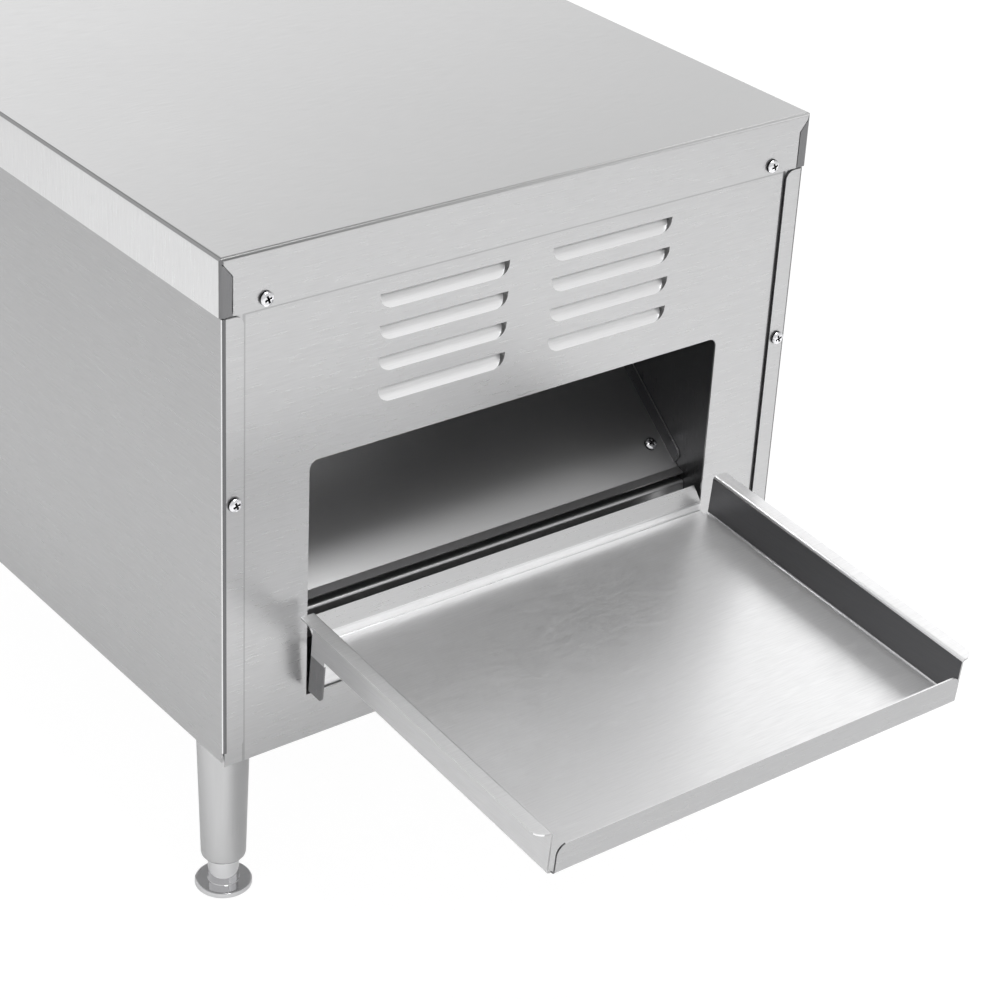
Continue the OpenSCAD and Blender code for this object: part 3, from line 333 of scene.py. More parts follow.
@dataclass(frozen=True)
class Moulded:
    """Plastic with the fine grain of its mould."""

    color: tuple[float, float, float]
    roughness: float = 0.5
    relief: float = 0.00003
    glow: float = 0.0

    def fill(self, graph: Graph) -> None:
        """Fills the graph of a material."""
        grain = graph.mottled((2600.0, 2600.0, 2600.0), 2.0, self.color, 0.9)
        graph.roughen(grain, self.roughness - 0.04, self.roughness + 0.06)
        graph.bump(grain, 0.3, self.relief)
        if self.glow > 0:
            graph.set(Emission_Color=(*self.color, 1.0), Emission_Strength=self.glow)


@dataclass(frozen=True)
class PaintedCasting:
    """Die-cast housing under satin paint."""

    color: tuple[float, float, float]

    def fill(self, graph: Graph) -> None:
        """Fills the graph of a material."""
        skin = graph.mottled((420.0, 420.0, 420.0), 4.0, self.color, 0.88)
        graph.bump(skin, 0.35, 0.0001)
        graph.set(Roughness=0.48, Metallic=0.2)


@dataclass(frozen=True)
class Quartz:
    """Clear tube with a faint milky haze."""

    def fill(self, graph: Graph) -> None:
        """Fills the graph of a material."""
        graph.roughen(graph.object_noise((90.0, 300.0, 300.0), 2.0), 0.04, 0.14)
        graph.set(Base_Color=(0.96, 0.96, 0.95, 1.0), Transmission_Weight=0.9, IOR=1.46)


@dataclass(frozen=True)
class Fired:
    """Ceramic, mineral fibre and other dull mineral surfaces."""

    color: tuple[float, float, float]
    grain_size: float = 0.0012
    relief: float = 0.0002

    def fill(self, graph: Graph) -> None:
        """Fills the graph of a material."""
        grain = graph.mottled([1 / self.grain_size] * 3, 4.0, self.color, 0.86)
        graph.bump(grain, 0.4, self.relief)
        graph.set(Roughness=0.82)


# Several Brushed rows are one stainless steel whose tone is set face by face for the light each
# face takes: painted light and shade, as noted at each row
FINISHES = {
    # lid, end and side are one steel: the lid top is painted lighter and the side panels darker
    # than the end panels, as painted light and shade
    "lid": Brushed(0.96, Grain.X, roughness=0.2),
    # the lid's side flanges: a lighter copy of the lid steel, painted sheen
    "lid_side_painted_sheen": Brushed(0.71, Grain.Z),
    # the lid's corner tabs: a dark copy of the lid steel, painted shade
    "lid_tab": Brushed(0.2, Grain.Z),
    "side": Brushed(0.42, Grain.Y),
    "end": Brushed(0.52, Grain.X),
    # louvre blades: a lighter copy of the end steel, painted light where they face up
    "blade": Brushed(0.84, Grain.X, roughness=0.36),
    # light tone for bend faces: painted highlight
    "painted_highlight_line": Brushed(0.85, Grain.Z, contrast=0.03),
    # dark tone for bends and gaps: painted shade
    "painted_shade_line": Brushed(0.16, Grain.Z, contrast=0.03),
    # the lid's folds: painted shade on the left running to a painted highlight on the right
    "fold": PaintedFoldShading(0.2, 0.72, 0.18),
    # the lid's side bends: a dark copy of the steel, painted shade
    "lid_bend_painted_shade": Brushed(0.36, Grain.Y, contrast=0.03),
    "seam": Brushed(0.4, Grain.X, contrast=0.03),
    "tray": Brushed(0.85, Grain.X, roughness=0.33, contrast=0.06, metallic=0.86),
    # tray front flange: a darker copy of the tray steel, painted shade
    "tray_front": Brushed(0.42, Grain.X),
    # tray inner walls: a dark copy of the tray steel, painted shade
    "tray_wall": Brushed(0.11, Grain.Y, roughness=0.36),
    # tray ramp: a darker copy of the tray steel, painted shade
    "tray_ramp_painted_shade": Brushed(0.64, Grain.X),
    # tray outer walls: a lighter copy of the tray steel than the inner walls, painted light
    "tray_out_painted_light": Brushed(0.53, Grain.Y, roughness=0.36),
    # tray legs: a dark copy of the tray steel, painted shade
    "tray_leg": Brushed(0.22, Grain.Z),
    # inner plates: a dark copy of the steel, painted shade of the unlit inside
    "inner": Brushed(0.16, Grain.Z),
    "slide": Brushed(0.49, Grain.X, contrast=0.01, relief=0.0),
    # inner face of the slide's side flange: a dark copy of the steel, painted shade
    "slide_edge_painted_shade": Brushed(0.14, Grain.X),
    "hidden": Brushed(0.62, Grain.X, roughness=0.42, contrast=0.1),
    "reflector": Brushed(0.8, Grain.X, roughness=0.2, contrast=0.05),
    "leg": Brushed(0.5, Grain.Z, roughness=0.22, contrast=0.03, mark_length=0.05,
                   mark_width=0.0009),
    "chrome": Polished((0.68, 0.68, 0.69), 0.05),
    "screw": Polished((0.8, 0.8, 0.82), 0.14),
    # near black: painted shade and dark reflection on screw flanks and recesses
    "screw_painted_shade": Polished((0.02, 0.02, 0.021), 0.3),
    "wire": Polished((0.84, 0.84, 0.86), 0.14),
    "belt": Polished((0.56, 0.55, 0.53), 0.3),
    "shaft": Polished((0.58, 0.58, 0.6), 0.22),
    "chain": Polished((0.2, 0.2, 0.21), 0.32),
    "bronze": Polished((0.5, 0.33, 0.16), 0.42),
    "coil": Polished((0.3, 0.26, 0.24), 0.5),
    "motor": PaintedCasting((0.09, 0.1, 0.11)),
    "black": Moulded((0.022, 0.022, 0.024), 0.42),
    "dark_glossy": Moulded((0.02, 0.02, 0.022), 0.22, 0.00001),
    "white_mark": Moulded((0.8, 0.8, 0.78), 0.45),
    "rocker": Moulded((0.55, 0.02, 0.015), 0.25, 0.00001),
    "lamp": Moulded((0.85, 0.35, 0.05), 0.12, 0.00001, 0.15),
    "terminal": Moulded((0.75, 0.75, 0.7), 0.5),
    "quartz": Quartz(),
    "ceramic": Fired((0.8, 0.78, 0.72)),
    "fibre": Fired((0.66, 0.6, 0.45), 0.004, 0.0008),
}


@cache
def finish(name: str) -> Material:
    """Gives a finish's material, built once.

    Args:
        name: Key in FINISHES.

    Returns:
        The material.
    """
    material = bpy.data.materials.new(name + "_finish")
    FINISHES[name].fill(Graph(material))
    return material


# ---- bench work


def deselect() -> None:
    """Leaves edit mode and clears the selection."""
    if bpy.context.object is not None and bpy.context.object.mode != "OBJECT":
        bpy.ops.object.mode_set(mode="OBJECT")
    bpy.ops.object.select_all(action="DESELECT")


def take(piece: Piece) -> None:
    """Makes a piece the only selected and active one."""
    deselect()
    piece.select_set(True)
    bpy.context.view_layer.objects.active = piece


@contextmanager
def editing() -> Iterator[None]:
    """Opens the active piece's mesh with all of it selected, and closes it again."""
    bpy.ops.object.mode_set(mode="EDIT")
    bpy.ops.mesh.select_all(action="SELECT")
    yield
    bpy.ops.object.mode_set(mode="OBJECT")


def settle(piece: Piece) -> None:
    """Applies a piece's place, turn and size to its mesh."""
    take(piece)
    bpy.ops.object.transform_apply(location=True, rotation=True, scale=True)


def fresh(name: str) -> Piece:
    """Names the piece that was just added, and keeps its place in its mesh."""
    piece = bpy.context.object
    piece.name = name
    settle(piece)
    return piece


def placed(piece: Piece, place: Matrix) -> None:
    """Moves a piece and keeps the place in its mesh.

    Args:
        piece: Piece at the origin.
        place: Where it goes.
    """
    piece.matrix_world = place
    settle(piece)


def smooth(piece: Piece, degrees: float = 35.0) -> None:
    """Shades a piece smooth but for its sharp edges, with its wide faces left flat.

    Args:
        piece: The piece.
        degrees: Edges sharper than this stay crisp.
    """
    take(piece)
    bpy.ops.object.shade_smooth_by_angle(angle=math.radians(degrees))
    flatten = piece.modifiers.new("flat_faces", "WEIGHTED_NORMAL")
    flatten.mode = "FACE_AREA"
    flatten.weight = 100
    flatten.keep_sharp = True
    bpy.ops.object.modifier_apply(modifier=flatten.name)


def apply_all(piece: Piece) -> None:
    """Applies every modifier of a piece."""
    take(piece)
    for modifier in list(piece.modifiers):
        bpy.ops.object.modifier_apply(modifier=modifier.name)


def bevelled(piece: Piece, width: float, segments: int = 2,
             degrees: float = 35.0) -> None:
    """Rounds the sharp edges of a piece.

    Args:
        piece: The piece.
        width: Width of the bevel in metres.
        segments: Faces across the bevel.
        degrees: Edges sharper than this are rounded.
    """
    take(piece)
    modifier = piece.modifiers.new("edges", "BEVEL")
    modifier.width = width
    modifier.segments = segments
    modifier.limit_method = "ANGLE"
    modifier.angle_limit = math.radians(degrees)
    apply_all(piece)


def cut(piece: Piece, tool: Piece) -> None:
    """Cuts one piece's shape out of another and removes the tool.

    Args:
        piece: Piece that is cut.
        tool: Piece whose shape is taken out.
    """
    take(piece)
    modifier = piece.modifiers.new("cut", "BOOLEAN")
    modifier.operation = "DIFFERENCE"
    modifier.solver = "EXACT"
    modifier.object = tool
    apply_all(piece)
    bpy.data.objects.remove(tool)


def split(piece: Piece,
          planes: Sequence[tuple[Sequence[float], Sequence[float]]]) -> None:
    """Divides the faces of a piece along planes, and keeps it whole.

    Args:
        piece: The piece.
        planes: Point and normal of each plane.
    """
    take(piece)
    for point, normal in planes:
        with editing():
            bpy.ops.mesh.bisect(plane_co=point, plane_no=normal)


def joined(name: str, parts: Sequence[Piece]) -> Piece:
    """Joins pieces into one object.

    Args:
        name: Name of the result.
        parts: Pieces to join.

    Returns:
        The joined object.
    """
    deselect()
    for part in parts:
        part.select_set(True)
    bpy.context.view_layer.objects.active = parts[0]
    if len(parts) > 1:
        bpy.ops.object.join()
    parts[0].name = name
    return parts[0]


def dressed(piece: Piece, look: str, node: str, replace: bool = True,
            *others: str) -> Piece:
    """Gives a piece its finish, its body and the node it stands for.

    Args:
        piece: The piece.
        look: Key of the finish, or nothing to keep the ones that it has.
        node: Node whose body and slot it takes.
        replace: Whether it hides the node.
        *others: More nodes that it stands for.

    Returns:
        The same piece.
    """
    if look:
        piece.data.materials.clear()
        piece.data.materials.append(finish(look))
    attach(piece, BODY_OF[node])
    if replace:
        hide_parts(node, *others)
    LOG.info("%s on %s", piece.name, BODY_OF[node])
    return piece


def painted(piece: Piece, look: str,
            chosen: Callable[[Vector, Vector], bool]) -> None:
    """Gives some faces of a dressed piece another finish.

    Args:
        piece: The piece.
        look: Key of the finish.
        chosen: Tells from a face's middle and normal whether it takes the finish.
    """
    piece.data.materials.append(finish(look))
    index = len(piece.data.materials) - 1
    for face in piece.data.polygons:
        if chosen(face.center, face.normal):
            face.material_index = index


def turned(name: str, profile: Sequence[tuple[float, float]], place: Matrix | None = None,
           segments: int = 48, degrees: float = 30.0) -> Piece:
    """Turns a profile about Z, ring by ring.

    Args:
        name: Name of the piece.
        profile: Radius and height of each ring in millimetres, from one end to the other.
        place: Where the piece goes, in metres.
        segments: Corners of each ring.
        degrees: Edges sharper than this stay crisp.

    Returns:
        The closed piece, with its place in its mesh.
    """
    radius, height = profile[0]
    deselect()
    bpy.ops.mesh.primitive_circle_add(vertices=segments, radius=radius * MM, fill_type="NGON",
                                      location=(0, 0, height * MM))
    piece = bpy.context.object
    piece.name = name
    with editing():
        for next_radius, next_height in profile[1:]:
            lift = (next_height - height) * MM
            bpy.ops.mesh.extrude_region_move(TRANSFORM_OT_translate={"value": (0, 0, lift)})
            share = next_radius / radius
            bpy.ops.transform.resize(value=(share, share, 1),
                                     center_override=(0, 0, next_height * MM))
            radius, height = next_radius, next_height
        bpy.ops.mesh.select_all(action="SELECT")
        bpy.ops.mesh.normals_make_consistent(inside=False)
    settle(piece)
    if place is not None:
        placed(piece, place)
    smooth(piece, degrees)
    return piece


def block(name: str, low: Sequence[float], high: Sequence[float]) -> Piece:
    """Makes a plain block to be shaped further.

    Args:
        name: Name of the block.
        low: Lowest corner in metres.
        high: Highest corner in metres.

    Returns:
        The block, with its place in its mesh.
    """
    deselect()
    middle = [(a + b) / 2 for a, b in zip(low, high)]
    bpy.ops.mesh.primitive_cube_add(size=1, location=middle,
                                    scale=[b - a for a, b in zip(low, high)])
    return fresh(name)


def eased_copy(node: str, look: str, edge: float = 0.0, degrees: float = 30.0
               ) -> Piece:
    """Copies a node, joins its faces, rounds its cut edges and shades its folds.

    Args:
        node: Node that the copy stands for.
        look: Key of the finish.
        edge: Width of the rounded edges in metres, or 0 for none.
        degrees: Edges sharper than this stay crisp.

    Returns:
        The dressed copy.
    """
    piece = bpy.data.objects.new(node + "_finished", frame["nodes"][node].data.copy())
    bpy.context.scene.collection.objects.link(piece)
    take(piece)
    with editing():
        bpy.ops.mesh.remove_doubles(threshold=WELD)
        bpy.ops.mesh.dissolve_limited(angle_limit=math.radians(FLAT))
    if edge > 0:
        bevelled(piece, edge, 2, 40.0)
    smooth(piece, degrees)
    return dressed(piece, look, node)


def along_y(point: Sequence[float], outward: int = 1) -> Matrix:
    """Places a piece that was made along +Z so that it points along Y.

    Args:
        point: Where its origin goes, in metres.
        outward: 1 to point along +Y, -1 to point along -Y.

    Returns:
        The placing matrix.
    """
    return Matrix.Translation(point) @ Matrix.Rotation(-outward * math.pi / 2, 4, "X")


# ---- sub-assemblies


@dataclass
class BodyFrame:
    """Where the casing lies in the row frame, in metres."""

    face_y: float = -0.208667
    under: float = 0.102
    depth: float = 0.418
    half_width: float = 0.184

    def at(self, x: float, y: float, z: float) -> tuple[float, float, float]:
        """Turns body coordinates in millimetres into the row frame.

        Args:
            x: From the middle.
            y: Inwards from the discharge face.
            z: Up from the underside.

        Returns:
            The point in metres.
        """
        return (x * MM, self.face_y + y * MM, self.under + z * MM)


@dataclass
class CrossScrew:
    """Pan-head screw with a cross recess, sizes in millimetres."""

    head_r: float = 3.75
    head_h: float = 2.5
    shank_r: float = 1.95
    shank: float = 8.0
    arm: float = 2.1
    arm_w: float = 1.1
    rim: float = 1.35

    def build(self) -> Piece:
        """Builds the screw at the origin, its head along +Z.

        Returns:
            The screw.
        """
        r, h = self.head_r, self.head_h
        profile = [
            (self.shank_r * 0.7, -self.shank), (self.shank_r, -self.shank + 0.6),
            (self.shank_r, -0.02), (r - 0.1, 0.0), (r, 0.15), (r, h * 0.48),
            (r * 0.97, h * 0.6), (r * 0.88, h * 0.76), (r * 0.72, h * 0.88), (r * 0.5, h * 0.96),
            (r * 0.25, h * 0.99), (r * 0.02, h),
        ]
        screw = turned("screw", profile, segments=32)
        arm, half = self.arm * MM, self.arm_w / 2 * MM
        low, high = (h - 1.5) * MM, (h + 1) * MM
        for turn in range(2):
            tool = block("recess", (-arm, -half, low), (arm, half, high))
            tool.matrix_world = Matrix.Rotation(math.radians(20 + 90 * turn), 4, "Z")
            cut(screw, tool)
        smooth(screw, 28)
        screw.data.materials.clear()
        screw.data.materials.append(finish("screw"))
        rim, floor = self.rim * MM, low + 0.00002
        # the shank, the head's flank and the cross recess painted near black: painted dark
        # reflection and painted shade
        painted(screw, "screw_painted_shade", lambda spot, normal: spot.z < rim or (
            spot.z > rim and (abs(normal.z) < 0.25 or spot.z < floor)))
        return screw


def set_screws(name: str, places: Sequence[Matrix]) -> None:
    """Sets a screw at each place.

    Args:
        name: What one screw is called. Their node has it in the plural.
        places: Where the heads' undersides lie, with +Z outwards.
    """
    master = CrossScrew().build()
    copies = []
    for place in places:
        take(master)
        bpy.ops.object.duplicate(linked=False)
        copies.append(bpy.context.object)
        placed(copies[-1], place)
    bpy.data.objects.remove(master)
    dressed(joined(name + "_set", copies), "", name + "s")


@dataclass
class Casing:
    """Lid, side panels, end panels and underside, with their screws.

    Edges are in metres, the other sizes in millimetres from the body's faces.
    """

    body: BodyFrame
    edge: float = 0.00016
    lid_screw_x: float = 160.0
    lid_screw_z: float = 259.5
    side_screw_x: float = 177.3
    side_screw_z: float = 153.5
    lid_face: float = -0.2
    tab: float = 6.5
    flange: float = 12.0
    # Widths of the strips painted as shadow along the right and the left side flange
    seam_wide: float = 1.7
    seam_narrow: float = 1.6
    lid_low: float = 254.5
    # Drops below the lid's edge between which a strip is painted as shadow
    under_lid: tuple[float, float] = (0.9, 1.7)
    louvres_low: float = 170.0
    panel_edge: float = 0.00012
    panel_crease: float = 5.0

    def build(self) -> None:
        """Builds and dresses the casing."""
        self.lid()
        self.side("left_side_panel")
        self.side("right_side_panel")
        self.discharge_end()
        eased_copy("feed_end_panel", "end")
        eased_copy("base_pan", "hidden")
        self.screws()

    def lid(self) -> None:
        """Dresses the lid: its flanges, corner tabs and folds get their own tones, which paint
        the light and shade on each face.
        """
        lid = eased_copy("top_cover", "lid", self.edge)
        half, depth = self.body.half_width, self.body.depth / 2
        middle = self.body.face_y + depth
        tab_x = half + 0.0012 - self.tab * MM
        # the side flanges painted lighter: painted sheen
        painted(lid, "lid_side_painted_sheen", lambda spot, normal: abs(normal.x) > SQUARE
                and abs(spot.x) > half - MM)
        # the lid's end flanges take the end panels' tone, darker than the top: painted shade
        painted(lid, "end", lambda spot, normal: abs(normal.y) > SQUARE)
        # the lid's bends get the painted shade-to-highlight tone
        painted(lid, "fold", lambda spot, normal: max(map(abs, normal)) < SQUARE)
        # the side bends painted darker: painted shade
        painted(lid, "lid_bend_painted_shade", lambda spot, normal: 0.25 < abs(normal.x) < SQUARE
                and abs(normal.y) < 0.25)
        # the corner tabs painted dark: painted shade
        painted(lid, "lid_tab", lambda spot, normal: abs(spot.y - middle) > depth - 0.0012
                and abs(spot.x) > tab_x and normal.z < 0.3)

    def side(self, node: str) -> None:
        """Dresses a side panel: its flanges take the end panels' lighter tone as painted light,
        and its folds and the flanges' cut edges get a painted highlight and painted shade lines.

        Args:
            node: Node of the panel.
        """
        panel = eased_copy(node, "side", self.edge)
        middle = self.body.face_y + self.body.depth / 2
        reach = self.body.depth / 2 - 0.0025
        edge_x = self.body.half_width - (self.flange - 0.5) * MM
        # the side panel's flanges take the end panels' tone, lighter than the side: painted
        # light
        painted(panel, "end", lambda spot, normal: abs(normal.y) > 0.995)
        # painted highlight on the half of each end fold that faces the side
        painted(panel, "painted_highlight_line", lambda spot, normal: 0.8 < abs(normal.x) < 0.966
                and abs(spot.y - middle) > reach and abs(normal.z) < 0.1)
        # painted shade on the half of each end fold that faces the front, and on the flange's
        # cut edge
        painted(panel, "painted_shade_line", lambda spot, normal: abs(spot.y - middle) > reach
                and (0.05 < abs(normal.x) <= 0.8 or abs(spot.x) < edge_x
                     and abs(normal.y) < 0.9))

    def discharge_end(self) -> None:
        """Dresses the discharge end panel with painted shadow lines along its side flanges and
        under the lid, and paints the blades of its louvres lighter as lit.
        """
        panel = eased_copy("discharge_end_panel", "end", self.panel_edge)
        edge_x = self.body.half_width - self.flange * MM
        low_z = self.body.under + self.lid_low * MM
        wide, narrow = self.seam_wide * MM, self.seam_narrow * MM
        top, bottom = (low_z - drop * MM for drop in self.under_lid)
        # planes that cut strips along the side flanges and under the lid, for the painted shadow
        upright = [((x, 0, 0), (1, 0, 0))
                   for x in (-edge_x, narrow - edge_x, edge_x - wide, edge_x)]
        split(panel, upright + [((0, 0, z), (0, 0, 1)) for z in (top, bottom)])
        smooth(panel, self.panel_crease)
        # painted shadow in the gap along the right side flange
        painted(panel, "painted_shade_line", lambda spot, normal: edge_x - wide < spot.x < edge_x
                and normal.y < -0.9)
        # painted shadow along the left side flange and under the lid's edge
        painted(panel, "seam", lambda spot, normal: normal.y < -0.9 and spot.z < top
                and (-edge_x < spot.x < narrow - edge_x
                     or abs(spot.x) < edge_x - wide and spot.z > bottom))
        # the louvre blades painted lighter than the panel: painted light
        painted(panel, "blade", lambda spot, normal: normal.y < -0.1 and normal.z > 0.1
                and abs(normal.x) < 0.1 and spot.z > self.body.under + self.louvres_low * MM)

    def screws(self) -> None:
        """Sets the eight screws of the lid and the side flanges."""
        places = []
        for end in (-1, 1):
            for side in (-1, 1):
                for x, z, face in (
                    (self.lid_screw_x, self.lid_screw_z, self.lid_face),
                    (self.side_screw_x, self.side_screw_z, 0.0),
                ):
                    y = face if end < 0 else self.body.depth / MM - face
                    places.append(along_y(self.body.at(side * x, y, z), end))
        set_screws("cover_screw", places)


@dataclass
class SlideUnit:
    """Toast slide behind the mouth, with the frame that carries it."""

    body: BodyFrame
    fold_y: float = 25.0
    fold_z: float = 72.2
    slope: float = 38.9
    screw_x: float = 125.0
    screw_along: tuple[float, float] = (17.5, 130.5)

    def build(self) -> None:
        """Builds and dresses the slide, the inner plates and the rails."""
        slide = eased_copy("toast_slide", "slide", 0.00012)
        # the slide's side flanges painted dark: painted shade
        painted(slide, "slide_edge_painted_shade", lambda spot, normal: abs(normal.x) > 0.8)
        # painted highlight on the slide's side bends
        painted(slide, "painted_highlight_line", lambda spot, normal: 0.3 < abs(normal.x) < 0.8)
        eased_copy("slide_rail", "slide", 0.00012)
        # the inner plates painted dark: painted shade of the inside
        eased_copy("left_inner_plate", "inner")
        eased_copy("right_inner_plate", "inner")
        for node in ("bulkhead", "slide_ledges", "crumb_tray_runners"):
            eased_copy(node, "hidden")
        self.screws()

    def screws(self) -> None:
        """Sets the four screws of the slide square to its slope."""
        turn = Matrix.Rotation(math.radians(self.slope), 4, "X")
        fold = Matrix.Translation(self.body.at(0, self.fold_y, self.fold_z))
        set_screws("slide_screw", [
            fold @ turn @ Matrix.Translation((x * MM, along * MM, 0))
            for x in (-self.screw_x, self.screw_x) for along in self.screw_along])


@dataclass
class Trays:
    """Discharge tray and crumb tray, sizes in millimetres but for the edges."""

    body: BodyFrame
    edge: float = 0.00014
    tilt: float = 4.6
    front: float = 191.0
    wall_x: float = 133.4
    leg_start: float = 55.0

    def build(self) -> None:
        """Builds and dresses both trays; the discharge tray's faces get tones that paint their
        light and shade.
        """
        tray = eased_copy("discharge_tray", "tray", self.edge)
        slope = math.radians(self.tilt)
        across = Vector((0, -math.sin(slope), math.cos(slope)))
        below = Vector((0, self.body.face_y, self.body.under + self.leg_start * MM))
        # split off the legs below the floor so that they take painted shade
        split(tray, [(below, across)])
        smooth(tray, 30.0)
        wall_x = self.wall_x * MM
        front_y = self.body.face_y - self.front * MM
        # the inner faces of the walls painted dark: painted shade
        painted(tray, "tray_wall", lambda spot, normal: abs(normal.x) > 0.95
                and spot.x * normal.x < 0)
        # painted highlight along the bend between the tray's floor and walls
        painted(tray, "painted_highlight_line", lambda spot, normal: 0.3 < abs(normal.x) < 0.97
                and normal.z > 0.2 and wall_x - 0.005 < abs(spot.x) < wall_x
                and (spot - below).dot(across) < 0.006)
        # the outer faces of the walls painted lighter: painted light
        painted(tray, "tray_out_painted_light", lambda spot, normal: abs(normal.x) > 0.95
                and spot.x * normal.x > 0)
        # the front flange painted darker: painted shade
        painted(tray, "tray_front", lambda spot, normal: normal.y < -0.95
                and spot.y < front_y)
        # the ramp painted darker: painted shade
        painted(tray, "tray_ramp_painted_shade", lambda spot, normal: normal.y < -0.4 and normal.z > 0.5)
        # painted shade on the sideways faces of the tray's front flange, such as its rounded
        # ends
        painted(tray, "painted_shade_line", lambda spot, normal: abs(normal.x) > 0.35
                and spot.y < front_y and abs(spot.x) < wall_x)
        # the legs painted dark: painted shade
        painted(tray, "tray_leg", lambda spot, normal: (spot - below).dot(across) < 0
                and abs(spot.x) > wall_x - 0.001)
        eased_copy("crumb_tray", "tray", self.edge)


@dataclass
class Heaters:
    """Quartz tubes with their coils, caps, reflectors and insulation, in millimetres."""

    half_length: float = 140.0
    coil_r: float = 3.0
    wire_r: float = 0.45
    coil_pitch: float = 5.0

    def build(self) -> None:
        """Builds and dresses the heaters."""
        for node, look in (
            ("top_reflector", "reflector"), ("lower_reflector", "reflector"),
            ("top_insulation", "fibre"),
            ("upper_quartz_tubes", "quartz"), ("lower_quartz_tubes", "quartz"),
        ):
            eased_copy(node, look)
        eased_copy("ceramic_end_caps", "ceramic", 0.0002)
        self.coils()

    def coil(self, name: str, y: float, z: float) -> Piece:
        """Winds one coil along X.

        Args:
            name: Name of the coil.
            y: Y of its axis in metres.
            z: Z of its axis in metres.

        Returns:
            The coil.
        """
        deselect()
        bpy.ops.mesh.primitive_circle_add(
            vertices=5, radius=self.wire_r * MM,
            location=(-self.half_length * MM, self.coil_r * MM, 0))
        ring = fresh(name)
        wind = ring.modifiers.new("wind", "SCREW")
        wind.axis = "X"
        wind.steps = 10
        wind.render_steps = 10
        wind.screw_offset = self.coil_pitch * MM
        wind.iterations = int(2 * self.half_length / self.coil_pitch)
        wind.use_smooth_shade = True
        apply_all(ring)
        with editing():
            bpy.ops.mesh.select_all(action="DESELECT")
            bpy.ops.mesh.select_non_manifold(extend=False)
            bpy.ops.mesh.edge_face_add()
            bpy.ops.mesh.select_all(action="SELECT")
            bpy.ops.mesh.normals_make_consistent(inside=False)
        placed(ring, Matrix.Translation((0, y, z)))
        return ring

    def coils(self) -> None:
        """Winds a coil inside each tube."""
        low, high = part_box("upper_quartz_tubes")
        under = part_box("lower_quartz_tubes")
        radius = (high.z - low.z) / 2
        rows = [low.y + radius, (low.y + high.y) / 2, high.y - radius]
        heights = [(low.z + high.z) / 2, (under[0].z + under[1].z) / 2]
        parts = [
            self.coil(f"coil_{row}_{level}", y, z)
            for row, y in enumerate(rows) for level, z in enumerate(heights)
        ]
        dressed(joined("heating_coils", parts), "coil", "heating_wires")


@dataclass
class CopiedSet:
    """Pieces whose solids only need eased edges and a finish."""

    rows: Rows = ()

    def build(self) -> None:
        """Copies and dresses each row's node with its finish and edge in metres."""
        for row in self.rows:
            eased_copy(*row)


@dataclass
class Conveyor(CopiedSet):
    """Wire belt with its shafts, wheels and bushes."""

    rows: Rows = (
        ("conveyor_belt", "belt", 0.0),
        ("drive_belt_wheels", "shaft", 0.00015), ("idler_belt_wheels", "shaft", 0.00015),
        ("drive_shaft", "shaft", 0.0003), ("idler_shaft", "shaft", 0.0003),
        ("shaft_bushes", "bronze", 0.0002),
    )


@dataclass
class ChainDrive(CopiedSet):
    """Gear motor, sprockets and roller chain."""

    rows: Rows = (
        ("gear_motor", "motor", 0.0008), ("drive_sprocket", "chain", 0.0002),
        ("motor_sprocket", "chain", 0.0002), ("drive_chain", "chain", 0.0),
    )


@dataclass
class CoolingFan(CopiedSet):
    """Fan over the underside, with its wire guard."""

    rows: Rows = (
        ("cooling_fan_frame", "black", 0.0004), ("fan_impeller", "dark_glossy", 0.00015),
        ("fan_guard", "wire", 0.0),
    )


@dataclass
class Knob:
    """Skirted knob with a fluted grip, sizes in millimetres."""

    skirt_r: float = 17.0
    grip_r: float = 13.0
    height: float = 17.0
    start: float = 0.8
    flutes: int = 18
    flute_r: float = 1.3

    def build(self, name: str, place: Matrix) -> tuple[Piece, Piece]:
        """Builds a knob and its pointer mark.

        Args:
            name: Name of the knob.
            place: Where its back stands, with +Z outwards.

        Returns:
            The knob and the mark.
        """
        s, g, h = self.skirt_r, self.grip_r, self.height
        profile = [
            (s - 0.6, self.start), (s, self.start + 0.5), (s, 2.4), (s - 0.4, 3.1),
            (s - 1.4, 3.6), (g + 0.6, 4.0), (g, 4.8), (g - 0.25, h - 1.4),
            (g - 0.7, h - 0.5), (g - 1.6, h - 0.05), (g - 2.4, h), (g - 3.4, h - 0.35),
            (g * 0.3, h - 0.5), (g * 0.02, h - 0.5),
        ]
        knob = turned(name, profile, segments=72)
        tools = []
        for k in range(1, self.flutes):
            angle = math.pi / 2 + 2 * math.pi * k / self.flutes
            reach = (g + 0.55) * MM
            spot = Matrix.Translation((reach * math.cos(angle), reach * math.sin(angle), 0))
            tools.append(turned(f"flute_{k}", [(self.flute_r, 4.6), (self.flute_r, h + 1)],
                                spot, 12))
        cut(knob, joined("flutes", tools))
        bevelled(knob, 0.0002, 2, 38)
        smooth(knob, 32)
        mark = block(name + "_mark", (-0.0008, 0.003, (h - 0.6) * MM),
                     (0.0008, (g - 0.3) * MM, (h + 0.25) * MM))
        bevelled(mark, 0.0003, 2)
        smooth(mark)
        placed(knob, place)
        placed(mark, place)
        return knob, mark


